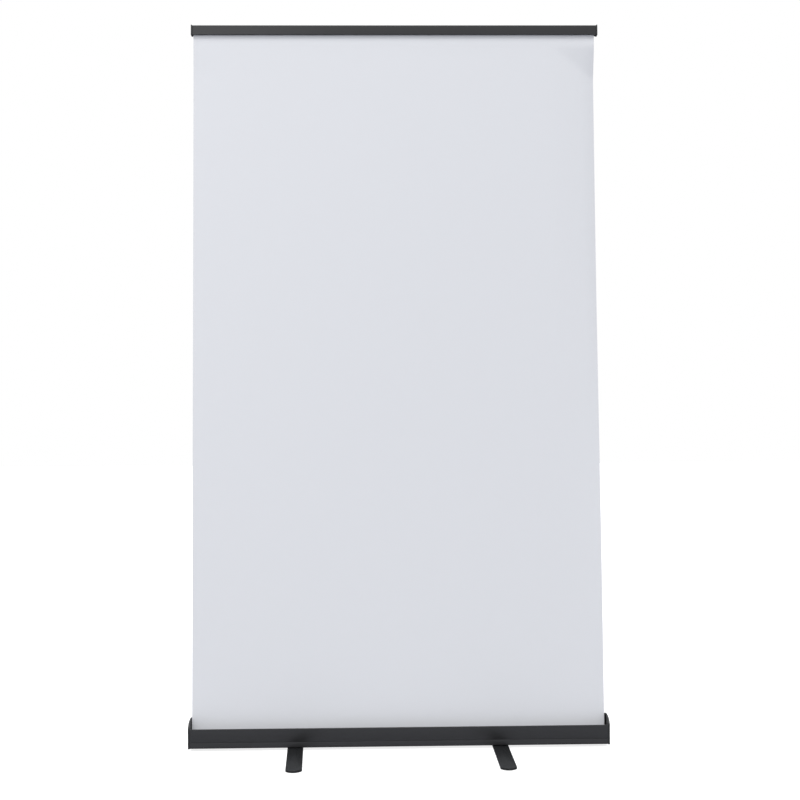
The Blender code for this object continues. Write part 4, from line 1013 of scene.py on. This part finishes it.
class BANNERSTAND_OT_screws(bpy.types.Operator):
    """Make the cross-head screws of the end caps, the pole socket and the hook"""
    bl_idname = "bannerstand.screws"
    bl_label = "Screws"

    def execute(self, context):
        for side, sign in (("left", -1), ("right", 1)):
            for end in ("front", "rear"):
                self.make_screw(f"{side}_cap_screw_{end}", "base", Vector((sign, 0, 0)))
            self.make_screw(f"pole_socket_screw_{side}", "base", Vector((0, 1, 0)))
        self.make_screw("pole_hook_screw", "upper_pole", Vector((0, 1, 0)))
        return {"FINISHED"}

    def make_screw(self, node, body, outward):
        """A pan head with a rounded rim, a cross recess and its shank, in a node's place."""
        low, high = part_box(node)
        size = high - low
        middle = (low + high) / 2
        length = abs(size.dot(outward))
        across = Vector((outward.y, outward.x, 0))
        head_radius = abs(size.dot(across)) / 2
        head = HEAD_HEIGHT * head_radius
        shank_radius = SHANK_RADIUS * head_radius
        top = middle + outward * length / 2
        turn = ALONG_X if outward.x else ALONG_Y
        screw = cylinder(node + "_cross_head", shank_radius, middle - outward * length / 2,
                         top - outward * head, sides=24, turn=turn)
        edit(screw)
        pick_faces(screw, lambda centre, normal: normal.dot(outward) > 0.9)
        bpy.ops.mesh.extrude_region_move()
        grow = [head_radius / shank_radius] * 3
        bpy.ops.transform.resize(value=grow, center_override=tuple(top - outward * head))
        extrude(*(outward * head))
        settle(screw)
        cut(screw, self.cross_recess(top, outward, head_radius, RECESS_DEPTH * head))
        round_edges(screw, HEAD_ROUNDING * head_radius, segments=2)
        place_piece(screw, body, "zinc_steel", node)

    def cross_recess(self, top, outward, head_radius, depth):
        """Two crossed bars that sink this deep into the head."""
        reach = RECESS_REACH * head_radius
        width = RECESS_WIDTH * head_radius
        bars = []
        for sideways, upright in ((reach, width), (width, reach)):
            scale = [2 * depth if outward[axis] else sideways for axis in range(2)] + [upright]
            bar = add_piece("recess", bpy.ops.mesh.primitive_cube_add, size=1.0, location=top, scale=scale)
            settle(bar)
            bars.append(bar)
        unite(bars[0], bars[1])
        return bars[0]


SMOOTHED_NODES = {
    "lock_collet": ("base", "natural_nylon"),
    "left_pivot_washer": ("base", "natural_nylon"),
    "right_pivot_washer": ("base", "natural_nylon"),
    "left_pivot_screw": ("base", "zinc_steel"),
    "right_pivot_screw": ("base", "zinc_steel"),
    "left_nut_plate": ("base", "zinc_steel"),
    "right_nut_plate": ("base", "zinc_steel"),
    "pole_socket": ("base", "black_plastic"),
    "pole_foot_plug": ("base", "black_plastic"),
    "banner_wrap": ("roller", "banner_film"),
    "roller_tube": ("roller", "roller_aluminium"),
    "torsion_spring": ("base", "spring_steel"),
}


class BANNERSTAND_OT_inner_parts(bpy.types.Operator):
    """Give the hidden working parts a smooth surface and every remaining part its finish"""
    bl_idname = "bannerstand.inner_parts"
    bl_label = "Inner Parts"

    def execute(self, context):
        for node, (body, slot) in SMOOTHED_NODES.items():
            self.smooth_copy(node, body, slot)
        self.finish_nodes()
        return {"FINISHED"}

    def smooth_copy(self, node, body, slot):
        """A merged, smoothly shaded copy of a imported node, which stands for it."""
        source = frame["nodes"][node]
        piece = bpy.data.objects.new(node + "_finished", source.data.copy())
        bpy.context.scene.collection.objects.link(piece)
        piece.data.materials.clear()
        edit(piece)
        bpy.ops.mesh.remove_doubles(threshold=2 * WELD)
        settle(piece)
        smooth(piece)
        piece.data.materials.append(finish(slot))
        record_slot = "mill_aluminium" if slot == "roller_aluminium" else slot
        place_piece(piece, body, record_slot, node)

    def finish_nodes(self):
        """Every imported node, shown or hidden, gets the procedural finish of its slot."""
        for part in frame["record"]["subparts"]:
            for slot in frame["nodes"][part["node"]].material_slots:
                slot.material = finish(part["material_slot"])


# ---------------------------------------------------------------- studio
FLOOR_WIDTH = 60.0
FLOOR_SEEN = "#b4b4b4"  # the floor's paint, to which its own glow is added
FLOOR_GLOW = 0.8
FLOOR_BOUNCE = "#b4b6bc"  # what the floor throws back up at the stand
SKY_TINT = "#fcfdff"
KEY_PLACE = (-1.9, -2.2, 2.7)
KEY_TARGET = (-0.2, 0, 1.5)
KEY_WIDTH = 1.6
TOP_SPREAD = 25  # degrees that the top light spans, which softens its shadows


class BANNERSTAND_OT_stage(bpy.types.Operator):
    """Set up the plain floor, the soft studio light and the camera"""
    bl_idname = "bannerstand.stage"
    bl_label = "Studio"

    def execute(self, context):
        studio = context.scene.banner_stand_studio
        self.make_floor()
        self.make_sky(context.scene, studio)
        self.make_key(studio.key)
        self.make_top(studio.top, studio.top_angle)
        self.make_camera(context.scene, studio)
        context.scene.view_settings.view_transform = "Standard"
        return {"FINISHED"}

    def make_floor(self):
        """A white floor, lit from within like a light table, that throws only dim light back up."""
        floor = add_piece("studio_floor", bpy.ops.mesh.primitive_plane_add, size=FLOOR_WIDTH,
                          location=(0, 0, 0))
        material, tree, paint = start_material("matt_white_floor", Specular_IOR_Level=0.1,
                                               Emission_Color=(1, 1, 1, 1),
                                               Emission_Strength=FLOOR_GLOW)
        mottle = surface_grain(tree, (40 * MM, 40 * MM, 40 * MM))
        vary(tree, paint, mottle, linear(FLOOR_SEEN), 0.01, (0.80, 0.90), 0.0)
        dim = add_node(tree, "ShaderNodeBsdfDiffuse", values={"Color": linear(FLOOR_BOUNCE)})
        seen = add_node(tree, "ShaderNodeLightPath")
        both = add_node(tree, "ShaderNodeMixShader", links={0: seen.outputs["Is Camera Ray"],
                                                            1: dim.outputs[0], 2: paint.outputs[0]})
        tree.links.new(both.outputs[0], tree.nodes["Material Output"].inputs["Surface"])
        floor.data.materials.append(material)

    def make_sky(self, scene, studio):
        """A white world that lights the object softly and is plain white where the camera sees it."""
        world = bpy.data.worlds.new("white_studio")
        scene.world = world
        world.use_nodes = True
        tree = world.node_tree
        soft = tree.nodes["Background"]
        soft.inputs["Strength"].default_value = studio.sky
        soft.inputs["Color"].default_value = linear(SKY_TINT)
        plain = add_node(tree, "ShaderNodeBackground", values={"Color": (1, 1, 1, 1), "Strength": 1.0})
        seen = add_node(tree, "ShaderNodeLightPath")
        both = add_node(tree, "ShaderNodeMixShader", links={0: seen.outputs["Is Camera Ray"],
                                                            1: soft.outputs[0], 2: plain.outputs[0]})
        tree.links.new(both.outputs[0], tree.nodes["World Output"].inputs["Surface"])

    def make_key(self, power):
        """A large square light that brightens the upper left of the banner."""
        light = bpy.data.lights.new("key_light", "AREA")
        light.energy = power
        light.size = KEY_WIDTH
        key = bpy.data.objects.new("key_light", light)
        key.visible_camera = False
        bpy.context.scene.collection.objects.link(key)
        key.location = KEY_PLACE
        key.rotation_euler = (Vector(KEY_TARGET) - key.location).to_track_quat("-Z", "Y").to_euler()

    def make_top(self, strength, height):
        """A soft light from high in front: it whitens the floor, and the rail shades the film below it."""
        light = bpy.data.lights.new("top_light", "SUN")
        light.energy = strength
        light.angle = math.radians(TOP_SPREAD)
        top = bpy.data.objects.new("top_light", light)
        bpy.context.scene.collection.objects.link(top)
        top.rotation_euler = (math.radians(90) - height, 0, 0)

    def make_camera(self, scene, studio):
        """Aim by yaw and pitch, then roll about the line of sight."""
        ahead = Vector((-math.sin(studio.yaw) * math.cos(studio.pitch),
                        math.cos(studio.yaw) * math.cos(studio.pitch), math.sin(studio.pitch)))
        level = Vector((math.cos(studio.yaw), math.sin(studio.yaw), 0))
        upright = level.cross(ahead)
        right = math.cos(studio.roll) * level + math.sin(studio.roll) * upright
        up = math.cos(studio.roll) * upright - math.sin(studio.roll) * level
        data = bpy.data.cameras.new("studio_camera")
        data.lens = studio.lens
        camera = bpy.data.objects.new("studio_camera", data)
        scene.collection.objects.link(camera)
        turned = Matrix((right, up, -ahead)).transposed()
        camera.matrix_world = Matrix.Translation(studio.camera_place) @ turned.to_4x4()
        scene.camera = camera


# ---------------------------------------------------------------- panel, registration and running
class BANNERSTAND_PT_pieces(bpy.types.Panel):
    """Buttons that build the stand, one for each piece or group of like pieces"""
    bl_idname = "BANNERSTAND_PT_pieces"
    bl_label = "Banner Stand"
    bl_space_type = "VIEW_3D"
    bl_region_type = "UI"
    bl_category = "Banner Stand"

    def draw(self, context):
        for operator in OPERATORS:
            self.layout.operator(operator.bl_idname)
        for group in SETTINGS:
            box = self.layout.box()
            settings = getattr(context.scene, group)
            for name in settings.bl_rna.properties.keys():
                if name not in ("rna_type", "name"):
                    box.prop(settings, name)


OPERATORS = (
    BANNERSTAND_OT_film,
    BANNERSTAND_OT_cassette,
    BANNERSTAND_OT_end_caps,
    BANNERSTAND_OT_feet,
    BANNERSTAND_OT_pole,
    BANNERSTAND_OT_lock_collar,
    BANNERSTAND_OT_hook,
    BANNERSTAND_OT_rail,
    BANNERSTAND_OT_screws,
    BANNERSTAND_OT_inner_parts,
    BANNERSTAND_OT_stage,
)
SETTINGS = {
    "banner_stand_sizes": BannerStandSizes,
    "banner_stand_colours": BannerStandColours,
    "banner_stand_studio": BannerStandStudio,
}


def register():
    for group in (*SETTINGS.values(), *OPERATORS, BANNERSTAND_PT_pieces):
        bpy.utils.register_class(group)
    for name, group in SETTINGS.items():
        setattr(bpy.types.Scene, name, PointerProperty(type=group))


def unregister():
    for name in SETTINGS:
        delattr(bpy.types.Scene, name)
    for group in reversed((*SETTINGS.values(), *OPERATORS, BANNERSTAND_PT_pieces)):
        bpy.utils.unregister_class(group)


def main():
    register()
    for operator in OPERATORS:
        namespace, action = operator.bl_idname.split(".")
        getattr(getattr(bpy.ops, namespace), action)()


if __name__ == "__main__":
    main()
